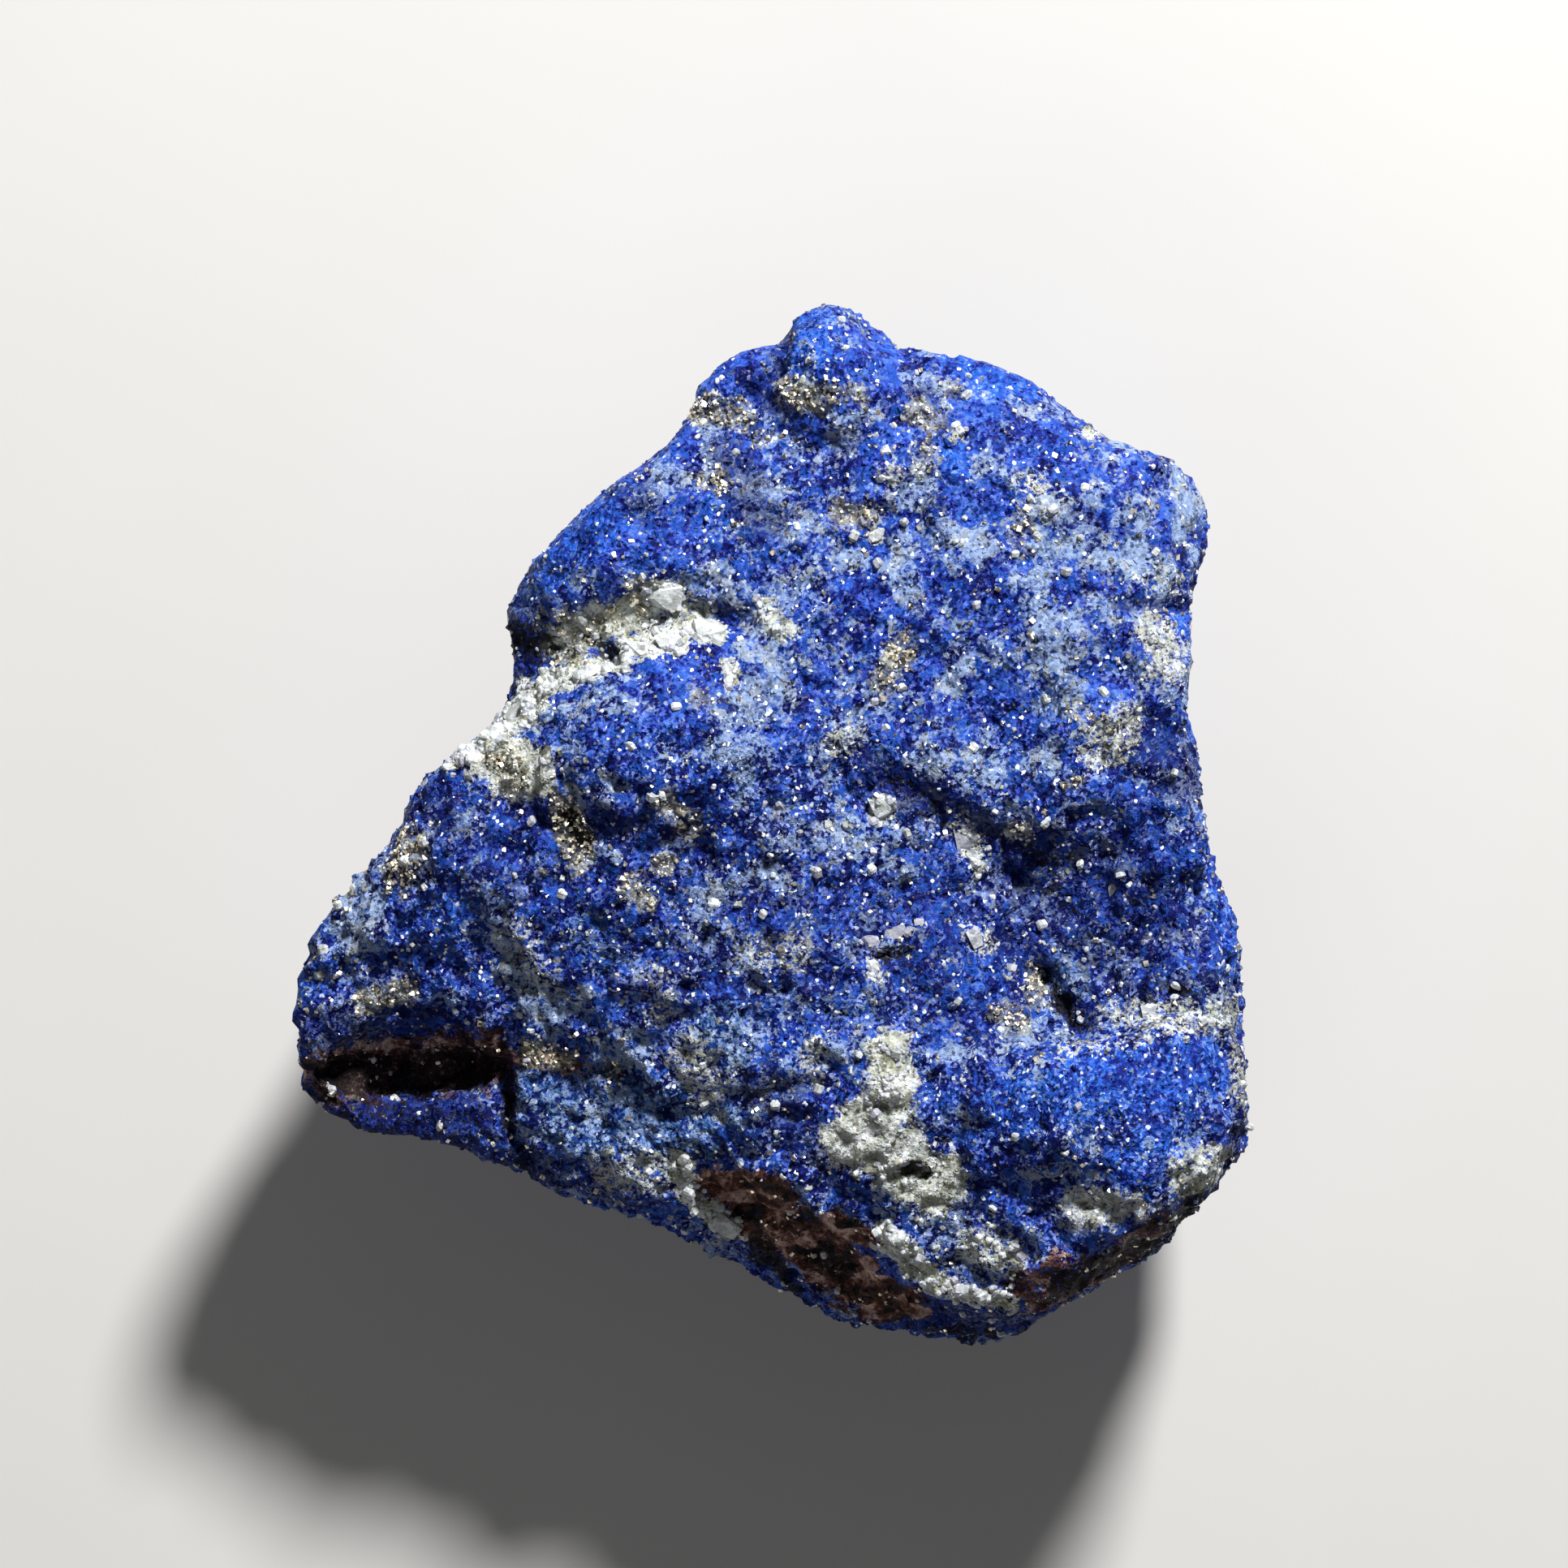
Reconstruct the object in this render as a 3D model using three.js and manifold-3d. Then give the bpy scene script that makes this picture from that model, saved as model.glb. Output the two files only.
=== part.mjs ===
// Rough lapis lazuli: one palm-sized lump of broken blue rock, lying on the flat spot of its back.
// Its broad fresh face looks up, and the narrow end with the knob points along +Y.
// Millimetres, +Z up. The origin is on the resting plane, under the middle of the lump.
import * as THREE from "three";
import { ImprovedNoise } from "three/addons/math/ImprovedNoise.js";
import { mergeVertices } from "three/addons/utils/BufferGeometryUtils.js";
import Module from "manifold-3d";

const { clamp, lerp, seededRandom, smoothstep } = THREE.MathUtils;

// Driving dimensions of the lump
const FACE_HEIGHT = 22.5; // broad face above the resting plane, at the origin
const EDGE_ROUNDING = 0.8; // how softly neighbouring breaks meet
const TRIM_DEPTH = 1; // stone below the resting plane, which the flat cut takes away

// Swells of the broken surfaces: their size, and how far they stand in or out
const SWELLS = [
  { size: 8, height: 0.7 },
  { size: 3, height: 0.3 },
];

// Chips of the broken surfaces: flat facets of about this size, tilted against their neighbours
const CHIP = { size: 5.5, tilt: 0.2, step: 0.28, blend: 1.1 };
const CHIP_SEED = 4;
const CHIP_SEED_STRIDE = 7919; // keeps the seeds of neighbouring cells apart
const CHIP_CELLS_ACROSS = 64; // more than the cells along any side of the lump

// Fineness of the faceted skin: triangles = 20 * (SKIN_DETAIL + 1)^2
const SKIN_DETAIL = 21;
const HEART = new THREE.Vector3(1, -4, 11); // point inside, from which the skin is cast
const HEART_REACH = new THREE.Vector3(13, 14, 5); // half-axes of the ellipsoid that the rays start on
const LONGEST_RAY = 60; // reaches past the skin everywhere
const RAY_HALVINGS = 30; // search steps along a ray
const EVENING_ROUNDS = 60; // the hollows deepen to their full depth over the first half of these
const EVENING_SHARE = 0.5; // how far a vertex moves toward the middle of its neighbours in a round
const SETTLE_STEPS = 4; // moves on to the finished skin
const PROBE_STEP = 0.05; // for the slope of the field
const LONGEST_MOVE = 0.5;
const LEAST_SLOPE = 0.5;
const FACE_SPACING = 1.0; // relative edge length on the broad face
const BACK_SPACING = 2.1; // on the back
const HOLLOW_SPACING = 0.65; // and in the deep hollows
const BACK_HEIGHT = 3; // below this the back's spacing holds
const FACE_SPACING_HEIGHT = 16; // and above this the broad face's
const DEEP_HOLLOW = 3; // depth of relief that has the hollows' spacing
const CAVITY_MARGIN = 2; // width of the finer band around the cavity
const GROUND = { width: 100, depth: 40 }; // block below the resting plane

// Outline of the lump from above, clockwise from the top of the knob
const OUTLINE = [
  [3.1, 27.1], [4.8, 26.5], [5.5, 25.2], [6.8, 24.7], [9.1, 24.5], [11.8, 23.7], [14.6, 22.0],
  [16.1, 20.8], [17.8, 19.6], [20.9, 19.0], [21.8, 18.1], [22.3, 15.0], [21.6, 12.6],
  [21.5, 8.7], [21.3, 7.0], [21.9, 4.1], [22.0, 0.8], [23.0, -2.9], [24.2, -5.9],
  [24.1, -9.2], [24.6, -14.6], [24.4, -16.2], [22.8, -18.8], [20.0, -21.7], [16.9, -23.5],
  [13.9, -25.1], [12.0, -26.6], [10.1, -27.0], [6.2, -26.5], [2.4, -25.6], [-0.9, -23.8],
  [-3.8, -21.3], [-8.0, -19.5], [-10.9, -19.0], [-13.8, -17.3], [-17.2, -16.0], [-19.3, -15.5],
  [-21.3, -15.5], [-24.0, -14.0], [-24.7, -12.8], [-24.3, -8.8], [-23.8, -6.1], [-21.5, -3.0],
  [-18.8, 0.4], [-17.5, 3.0], [-15.1, 4.5], [-13.4, 6.4], [-13.3, 7.9], [-13.8, 11.0],
  [-12.9, 13.3], [-10.3, 15.8], [-7.8, 17.9], [-5.9, 19.0], [-4.3, 20.9], [-3.7, 22.5],
  [-2.6, 24.0], [-1.2, 24.6], [0.4, 24.8], [0.8, 25.6], [1.5, 26.7],
];
const OUTLINE_INSET = 0.15; // leaves room for the swells and chips of the flanks
const OUTLINE_ROUGHNESS = 0.3; // share of the swells and chips that the outermost flank keeps

// Flat breaks that bound the lump: a point on each, and the way it faces
const BREAKS = [
  { name: "broad face", at: [0, 0, FACE_HEIGHT], facing: [0.0, 0.06, 1.0] },
  { name: "foot slope", at: [4.1, -21.2, 21.2], facing: [-0.28, -0.86, 0.42] },
  { name: "lower left slope", at: [-8.0, -17.4, 19.3], facing: [-0.19, -0.44, 0.88] },
  { name: "lower right slope", at: [18.6, -20.0, 22.2], facing: [0.62, -0.71, 0.34] },
  { name: "right cheek", at: [22.9, -10.0, 22.0], facing: [0.98, 0.0, 0.2] },
  { name: "left bevel", at: [-20.6, -2.0, 20.3], facing: [-0.5, 0.3, 0.8] },
  { name: "left wing", at: [-14.0, 1.0, 22.6], facing: [-0.2, -0.26, 0.94] },
  { name: "shoulder bevel", at: [-11.4, 13.6, 20.4], facing: [-0.6, 0.4, 0.7] },
  { name: "top bevel", at: [9.0, 23.2, 19.8], facing: [0.2, 0.6, 0.77] },
  { name: "right bevel", at: [20.8, 12.0, 20.6], facing: [0.7, 0.1, 0.7] },
  { name: "foot undercut", at: [5.0, -26.4, 8.5], facing: [-0.15, -0.8, -0.58] },
  { name: "left undercut", at: [-24.0, -9.0, 11.5], facing: [-0.72, -0.18, -0.67] },
  { name: "lower left undercut", at: [-13.0, -16.8, 10.0], facing: [-0.42, -0.65, -0.63] },
  { name: "flank under the cleft", at: [-14.5, 5.0, 9.5], facing: [-0.72, 0.42, -0.55] },
  { name: "shoulder undercut", at: [-9.0, 16.8, 11.0], facing: [-0.6, 0.6, -0.53] },
  { name: "top undercut", at: [6.0, 25.4, 11.5], facing: [0.05, 0.76, -0.65] },
  { name: "top right undercut", at: [19.0, 19.3, 9.5], facing: [0.62, 0.6, -0.5] },
  { name: "right undercut", at: [22.8, -2.0, 8.0], facing: [0.85, 0.05, -0.52] },
  { name: "lower right undercut", at: [21.5, -20.3, 8.0], facing: [0.62, -0.6, -0.5] },
  { name: "back toward the wing", at: [-9.0, -4.0, 0.0], facing: [-0.42, -0.02, -0.9] },
  { name: "back toward the top", at: [3.0, 9.5, 0.0], facing: [0.04, 0.36, -0.93] },
  { name: "back toward the right", at: [14.0, -3.0, 0.0], facing: [0.4, 0.08, -0.91] },
  { name: "back toward the foot", at: [4.0, -15.5, 0.0], facing: [0.08, -0.4, -0.91] },
];

// Rounded swellings and hollows of the upper side: centre, half-widths and height (negative is a hollow)
const DOMES = [
  { name: "knob", at: [3.2, 24.2], radii: [3.0, 4.2], height: 2.6 },
  { name: "recess beside the knob", at: [-2.4, 22.2], radii: [2.8, 3.6], height: -1.0 },
  { name: "shoulder", at: [-8.5, 14.0], radii: [6.5, 4.0], height: 1.3 },
  { name: "middle block", at: [-5.5, 4.6], radii: [7.0, 5.5], height: 1.4 },
  { name: "plateau rise", at: [13.0, 11.0], radii: [9.0, 8.0], height: 0.8 },
  { name: "right hollow", at: [16.2, -5.4], radii: [6.4, 7.4], height: -2.3 },
  { name: "pit under the shelf", at: [15.0, -2.2], radii: [2.4, 1.6], height: -1.3 },
  { name: "hollow under the shelf", at: [9.2, -0.2], radii: [4.2, 2.4], height: -0.7 },
  { name: "corner block", at: [18.0, -13.6], radii: [7.0, 5.0], height: 1.2 },
  { name: "grey vein rise", at: [5.4, -14.6], radii: [3.2, 5.8], height: 0.9 },
  { name: "trough beside the cavity", at: [-6.5, -14.2], radii: [6.5, 2.6], height: -0.5 },
  { name: "edge groove", at: [20.6, 11.2], radii: [3.0, 1.4], height: -1.0 },
];

// Steps of the upper side: the ground to the right of the path drops, then rises back over the reach
const LEDGES = [
  {
    name: "diagonal shelf",
    path: [[1.6, 5.0], [6.6, 2.9], [9.5, 0.6], [12.8, -0.9], [16.4, -2.8]],
    drop: 1.6,
    width: 1.0,
    reach: 14,
  },
  {
    name: "middle block edge",
    path: [[-11.6, 9.4], [-12.0, 5.0], [-12.2, 2.2], [-9.7, 0.3], [-5.1, 0.3], [0.2, -1.6]],
    drop: 1.2,
    width: 1.6,
    reach: 12,
  },
  {
    name: "corner block edge",
    path: [[30.0, -8.6], [18.7, -10.2], [13.4, -11.2], [9.0, -11.0]],
    drop: 1.5,
    width: 1.2,
    reach: 8,
  },
  {
    name: "step across the middle",
    path: [[20.0, -10.2], [13.4, -11.4], [7.0, -11.2], [1.0, -10.4], [-6.0, -9.8]],
    drop: 1.2,
    width: 3.0,
    reach: 9,
  },
  {
    name: "foot edge",
    path: [[-6.4, -16.8], [0.2, -18.9], [4.6, -21.2], [6.2, -23.2], [7.8, -24.6], [13.4, -25.9], [20.0, -27.2]],
    drop: 2.8,
    width: 2.6,
    reach: 30,
  },
  {
    name: "knob side",
    path: [[1.0, 27.5], [0.2, 22.9], [-1.4, 19.2]],
    drop: 0.5,
    width: 1.0,
    reach: 5,
  },
];

// Clefts cut into the upper side: half-width and depth at the start and the end of the path
const CLEFTS = [
  {
    name: "calcite cleft",
    path: [[-20.0, 5.6], [-13.6, 7.9], [-10.5, 9.3], [-6.3, 10.6], [-3.0, 11.1], [1.6, 10.2]],
    halfWidth: [3.4, 1.6],
    depth: [2.8, 0.7],
  },
  {
    name: "gash",
    path: [[12.0, -4.4], [13.4, -7.2], [16.2, -10.8]],
    halfWidth: [1.6, 1.7],
    depth: [1.6, 1.8],
  },
  {
    name: "crack beside the cavity",
    path: [[-14.0, -10.6], [-13.6, -13.2], [-13.4, -15.4], [-12.2, -18.6]],
    halfWidth: [1.2, 1.2],
    depth: [1.4, 1.2],
  },
];
const PATH_FADE = 0.15; // share of a path over which it dies out at each end

// Weathered cavity under the lower left edge: an ellipsoid scooped out of the lump
const CAVITY = { at: [-18.9, -12.4, 19.0], radii: [5.7, 2.3, 6.2], turn: 0.09 };

const STONE_MATERIAL = new THREE.MeshStandardMaterial({ color: 0x2f49a8, roughness: 0.62, metalness: 0 });

const swellNoise = new ImprovedNoise();
const outline = new THREE.CatmullRomCurve3(
  OUTLINE.map(([x, y]) => new THREE.Vector3(x, y, 0)),
  true,
  "centripetal",
).getPoints(OUTLINE.length * 2);
const breakPlanes = BREAKS.map(({ at, facing }) =>
  new THREE.Plane().setFromNormalAndCoplanarPoint(
    new THREE.Vector3(...facing).normalize(),
    new THREE.Vector3(...at),
  ),
);

// Larger of two distances, rounded where they are nearly equal.
function smoothMax(a, b, rounding) {
  const overlap = Math.max(rounding - Math.abs(a - b), 0) / rounding;
  return Math.max(a, b) + (overlap * overlap * rounding) / 4;
}

// Distance from (x, y) to the outline, negative inside it.
function outlineDistance(x, y) {
  let nearest = Infinity;
  let inside = false;
  for (let i = 1; i < outline.length; i++) {
    const a = outline[i - 1];
    const b = outline[i];
    const ex = b.x - a.x;
    const ey = b.y - a.y;
    const t = clamp(((x - a.x) * ex + (y - a.y) * ey) / (ex * ex + ey * ey), 0, 1);
    const dx = x - a.x - ex * t;
    const dy = y - a.y - ey * t;
    nearest = Math.min(nearest, dx * dx + dy * dy);
    if (a.y > y !== b.y > y && x < a.x + (ex * (y - a.y)) / ey) inside = !inside;
  }
  return inside ? -Math.sqrt(nearest) : Math.sqrt(nearest);
}

// Where (x, y) lies beside a path: its offset, positive to the right, and its share of the way along.
function besidePath(path, x, y) {
  const found = { offset: Infinity, along: 0 };
  for (let i = 0; i < path.length - 1; i++) {
    const [ax, ay] = path[i];
    const ex = path[i + 1][0] - ax;
    const ey = path[i + 1][1] - ay;
    const t = clamp(((x - ax) * ex + (y - ay) * ey) / (ex * ex + ey * ey), 0, 1);
    const dx = x - ax - ex * t;
    const dy = y - ay - ey * t;
    const distance = Math.hypot(dx, dy);
    if (distance < Math.abs(found.offset)) {
      found.offset = dx * ey - dy * ex > 0 ? distance : -distance;
      found.along = (i + t) / (path.length - 1);
    }
  }
  return found;
}

// 1 along the middle of a path, falling to 0 at both of its ends.
function endFade(along) {
  return smoothstep(along, 0, PATH_FADE) * smoothstep(1 - along, 0, PATH_FADE);
}

function domeHeight({ at, radii, height }, x, y) {
  const r2 = ((x - at[0]) / radii[0]) ** 2 + ((y - at[1]) / radii[1]) ** 2;
  return r2 < 1 ? height * (1 - r2) ** 2 : 0;
}

function ledgeHeight({ path, drop, width, reach }, x, y) {
  const { offset, along } = besidePath(path, x, y);
  const step = smoothstep(offset, -width / 2, width / 2);
  return -drop * step * Math.exp(-Math.max(offset, 0) / reach) * endFade(along);
}

function cleftHeight({ path, halfWidth, depth }, x, y) {
  const { offset, along } = besidePath(path, x, y);
  const reach = Math.abs(offset) / lerp(...halfWidth, along);
  return reach < 1 ? -lerp(...depth, along) * (1 - reach * reach) ** 2 * endFade(along) : 0;
}

// How far the upper side stands above its flat breaks over (x, y).
function reliefHeight(x, y) {
  let height = 0;
  for (const dome of DOMES) height += domeHeight(dome, x, y);
  for (const ledge of LEDGES) height += ledgeHeight(ledge, x, y);
  for (const cleft of CLEFTS) height += cleftHeight(cleft, x, y);
  return height;
}

// Distance outside the scooped cavity, negative in its hollow.
function cavityDistance({ x, y, z }) {
  const { at, radii, turn } = CAVITY;
  const dx = x - at[0];
  const dy = y - at[1];
  const along = (dx * Math.cos(turn) + dy * Math.sin(turn)) / radii[0];
  const across = (dy * Math.cos(turn) - dx * Math.sin(turn)) / radii[1];
  const up = (z - at[2]) / radii[2];
  return (Math.hypot(along, across, up) - 1) * Math.min(...radii);
}

// The chips' cells, each with a middle somewhere in its cube, a tilt and a height, made when first met.
const chipCells = new Map();
function chipCell(i, j, k) {
  const key = (i * CHIP_CELLS_ACROSS + j) * CHIP_CELLS_ACROSS + k;
  if (!chipCells.has(key)) {
    seededRandom(CHIP_SEED + key * CHIP_SEED_STRIDE);
    const [x, y, z, tiltX, tiltY, tiltZ, step] = Array.from({ length: 7 }, () => seededRandom());
    chipCells.set(key, {
      middle: new THREE.Vector3(i + x, j + y, k + z).multiplyScalar(CHIP.size),
      tilt: new THREE.Vector3(tiltX - 0.5, tiltY - 0.5, tiltZ - 0.5).multiplyScalar(2 * CHIP.tilt),
      step: (step - 0.5) * 2 * CHIP.step,
    });
  }
  return chipCells.get(key);
}

// How far the chipped surface stands in (positive) or out at p: the facet of the nearest cell's middle,
// eased into the next one's where both are about as near.
function chipDepth(p) {
  const home = p.clone().divideScalar(CHIP.size).floor();
  const nearest = [
    { distance: Infinity, depth: 0 },
    { distance: Infinity, depth: 0 },
  ];
  for (let i = home.x - 1; i <= home.x + 1; i++) {
    for (let j = home.y - 1; j <= home.y + 1; j++) {
      for (let k = home.z - 1; k <= home.z + 1; k++) {
        const { middle, tilt, step } = chipCell(i, j, k);
        const dx = p.x - middle.x;
        const dy = p.y - middle.y;
        const dz = p.z - middle.z;
        const distance = Math.hypot(dx, dy, dz);
        if (distance > nearest[1].distance) continue;
        nearest[1] = { distance, depth: step + tilt.x * dx + tilt.y * dy + tilt.z * dz };
        if (distance < nearest[0].distance) nearest.reverse();
      }
    }
  }
  const [first, second] = nearest;
  const own = 0.5 + 0.5 * smoothstep(second.distance - first.distance, 0, CHIP.blend);
  return lerp(second.depth, first.depth, own);
}

// How far p stands outside the stone, in about millimetres: negative inside, 0 on its skin.
// The share of their depth to which the hollows are carved goes from 0 to 1.
function stoneField(p, carved) {
  const relief = carved * reliefHeight(p.x, p.y);
  let roughness = chipDepth(p);
  for (const { size, height } of SWELLS) {
    roughness += height * swellNoise.noise(p.x / size, p.y / size, p.z / size);
  }
  let outside = outlineDistance(p.x, p.y) + OUTLINE_INSET + OUTLINE_ROUGHNESS * roughness;
  for (const plane of breakPlanes) {
    const lift = plane.normal.z > 0 ? relief * plane.normal.z : 0;
    outside = smoothMax(outside, plane.distanceToPoint(p) - lift + roughness, EDGE_ROUNDING);
  }
  const scoop = -cavityDistance(p) - (1 - carved) * CAVITY.radii[1];
  outside = smoothMax(outside, scoop, EDGE_ROUNDING / 2);
  return Math.max(outside, -TRIM_DEPTH - p.z);
}

// Point where a ray from inside the lump, in the given direction, meets its skin before the carving.
function castToSkin(direction) {
  const start = HEART.clone().add(direction.clone().multiply(HEART_REACH));
  const ray = direction.clone().multiply(HEART_REACH).normalize();
  const point = new THREE.Vector3();
  let near = 0;
  let far = LONGEST_RAY;
  for (let i = 0; i < RAY_HALVINGS; i++) {
    const middle = (near + far) / 2;
    point.copy(start).addScaledVector(ray, middle);
    if (stoneField(point, 0) < 0) near = middle;
    else far = middle;
  }
  return point;
}

// Moves p on to the skin, a little at a time, along the slope of the field.
function settleOnSkin(p, carved, steps) {
  const slope = new THREE.Vector3();
  for (let i = 0; i < steps; i++) {
    const here = stoneField(p, carved);
    for (const axis of ["x", "y", "z"]) {
      const probe = p.clone();
      probe[axis] += PROBE_STEP;
      slope[axis] = (stoneField(probe, carved) - here) / PROBE_STEP;
    }
    const move = -here / Math.max(slope.lengthSq(), LEAST_SLOPE ** 2);
    p.add(slope.multiplyScalar(move).clampLength(0, LONGEST_MOVE));
  }
}

// Wanted edge length at p, relative to the broad face.
function wantedSpacing(p) {
  const plain = lerp(BACK_SPACING, FACE_SPACING, smoothstep(p.z, BACK_HEIGHT, FACE_SPACING_HEIGHT));
  const hollow = Math.max(-reliefHeight(p.x, p.y) / DEEP_HOLLOW, 1 - cavityDistance(p) / CAVITY_MARGIN);
  return lerp(plain, HOLLOW_SPACING, clamp(hollow, 0, 1));
}

// The vertices that share an edge with each vertex of an indexed geometry.
function neighboursOf(geometry) {
  const neighbours = Array.from({ length: geometry.attributes.position.count }, () => new Set());
  const index = geometry.index.array;
  for (let i = 0; i < index.length; i += 3) {
    for (let corner = 0; corner < 3; corner++) {
      const a = index[i + corner];
      const b = index[i + ((corner + 1) % 3)];
      neighbours[a].add(b);
      neighbours[b].add(a);
    }
  }
  return neighbours;
}

// Middle of a vertex's neighbours, drawn toward those that are too far away.
function neighbourMiddle(points, spacings, i, neighbours) {
  const middle = new THREE.Vector3();
  let total = 0;
  for (const j of neighbours) {
    const weight = points[i].distanceTo(points[j]) / spacings[j];
    middle.addScaledVector(points[j], weight);
    total += weight;
  }
  return middle.divideScalar(total);
}

// An icosahedron's fine skin, cast on to the stone and evened out over it while the hollows are carved.
function wrapStone() {
  const ball = new THREE.IcosahedronGeometry(1, SKIN_DETAIL);
  ball.deleteAttribute("normal");
  ball.deleteAttribute("uv");
  const skin = mergeVertices(ball);
  const neighbours = neighboursOf(skin);
  const position = skin.attributes.position;
  const points = neighbours.map((_, i) => castToSkin(new THREE.Vector3().fromBufferAttribute(position, i)));
  for (let round = 0; round < EVENING_ROUNDS; round++) {
    const carved = clamp((2 * round) / EVENING_ROUNDS, 0, 1);
    const spacings = points.map(wantedSpacing);
    const middles = points.map((_, i) => neighbourMiddle(points, spacings, i, neighbours[i]));
    points.forEach((p, i) => p.lerp(middles[i], EVENING_SHARE));
    for (const p of points) settleOnSkin(p, carved, 1);
  }
  for (const p of points) settleOnSkin(p, 1, SETTLE_STEPS);
  points.forEach((p, i) => position.setXYZ(i, p.x, p.y, p.z));
  return skin;
}

// The part of a closed geometry above the resting plane, with a flat cut face there.
async function trimFlat(geometry) {
  const wasm = await Module();
  wasm.setup();
  const solidOf = ({ attributes, index }) =>
    new wasm.Manifold(
      new wasm.Mesh({
        numProp: 3,
        vertProperties: new Float32Array(attributes.position.array),
        triVerts: new Uint32Array(index.array),
      }),
    );
  const ground = new THREE.BoxGeometry(GROUND.width, GROUND.width, GROUND.depth);
  ground.translate(0, 0, -GROUND.depth / 2);
  ground.deleteAttribute("normal");
  ground.deleteAttribute("uv");
  const mesh = solidOf(geometry).subtract(solidOf(mergeVertices(ground))).getMesh();
  const trimmed = new THREE.BufferGeometry();
  trimmed.setAttribute("position", new THREE.BufferAttribute(mesh.vertProperties, 3));
  trimmed.setIndex(new THREE.BufferAttribute(mesh.triVerts, 1));
  return trimmed;
}

// Puts the origin under the middle of the lump, on the resting plane.
function centreOverOrigin(geometry) {
  geometry.computeBoundingBox();
  const middle = geometry.boundingBox.getCenter(new THREE.Vector3());
  return geometry.translate(-middle.x, -middle.y, 0);
}

const geometry = centreOverOrigin(await trimFlat(wrapStone()));
geometry.computeVertexNormals();
const stone = new THREE.Mesh(geometry, STONE_MATERIAL);
stone.name = "stone";

const lapisLump = new THREE.Group();
lapisLump.add(stone);

export default lapisLump;
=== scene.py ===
"""Looks of a rough lapis lazuli stone: blue rock with pyrite, calcite and a rusty foot, on a plain stage."""

from __future__ import annotations

import logging
import math
from dataclasses import dataclass, field
from enum import Enum
from typing import Any

import bmesh
import bpy
import numpy as np
from mathutils import Matrix, Vector, noise


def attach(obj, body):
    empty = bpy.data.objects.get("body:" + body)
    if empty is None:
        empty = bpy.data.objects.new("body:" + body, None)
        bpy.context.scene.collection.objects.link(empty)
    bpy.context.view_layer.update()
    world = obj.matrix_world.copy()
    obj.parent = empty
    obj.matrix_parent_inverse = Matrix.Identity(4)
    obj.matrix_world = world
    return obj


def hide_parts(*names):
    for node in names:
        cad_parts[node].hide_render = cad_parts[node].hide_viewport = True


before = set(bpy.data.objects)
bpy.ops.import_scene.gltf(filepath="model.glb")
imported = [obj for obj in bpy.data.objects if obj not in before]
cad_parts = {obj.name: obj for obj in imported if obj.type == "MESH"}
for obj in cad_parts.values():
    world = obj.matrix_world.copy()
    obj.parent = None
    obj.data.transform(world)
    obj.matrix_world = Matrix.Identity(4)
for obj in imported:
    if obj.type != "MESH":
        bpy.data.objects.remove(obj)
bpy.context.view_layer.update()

LOG = logging.getLogger("lapis")
MM = 0.001
BODY = "root"
TINY = 1e-12

Colour = tuple[float, float, float]
Point2 = tuple[float, float]
Point3 = tuple[float, float, float]
Span = tuple[float, float]
Path = tuple[Point2, ...]
Places = tuple[float, ...]
Sockets = dict[str, bpy.types.NodeSocket]

HALF: Point3 = (0.5, 0.5, 0.5)
NOISE_STEP: Point3 = (17.3, 7.1, 3.7)


class Mineral(Enum):
    """What the rock is made of where it isn't plain blue, each a mask on the meshes; the navy mask is mostly
    and the near-black mask wholly painted shade, and a few azure and pale streaks paint light.
    """

    CALCITE = "calcite"
    GREY = "grey"
    PYRITE = "pyrite"
    RUST = "rust"
    NAVY_AND_SHADE = "navy"
    AZURE = "azure"
    PALE = "pale"
    TEAL = "teal"
    PAINTED_SHADE = "shade_black"


class Mark(Enum):
    """Other numbers kept on the meshes: how rough the break is, a crystal's own shade, and its dustiness."""

    BROKEN = "broken"
    SHADE = "shade"
    DUST = "dust"


class Swell(Enum):
    """The smooth noises in use, each with its own seed."""

    EDGE = 1.0
    RIDGE = 2.0
    GRIT = 3.0
    FADE = 4.0
    STRAY_X = 5.0
    STRAY_Y = 6.0


@dataclass(frozen=True)
class Streak:
    """A patch of one mineral beside a line, in millimetres seen from above; one point makes a round spot."""

    reach: float
    path: Path
    strength: float = 1.0


@dataclass(frozen=True)
class Dent:
    """A small hollow (or a bump, below zero) beside a line on the upper side, in millimetres."""

    depth: float
    reach: float
    path: Path


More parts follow.
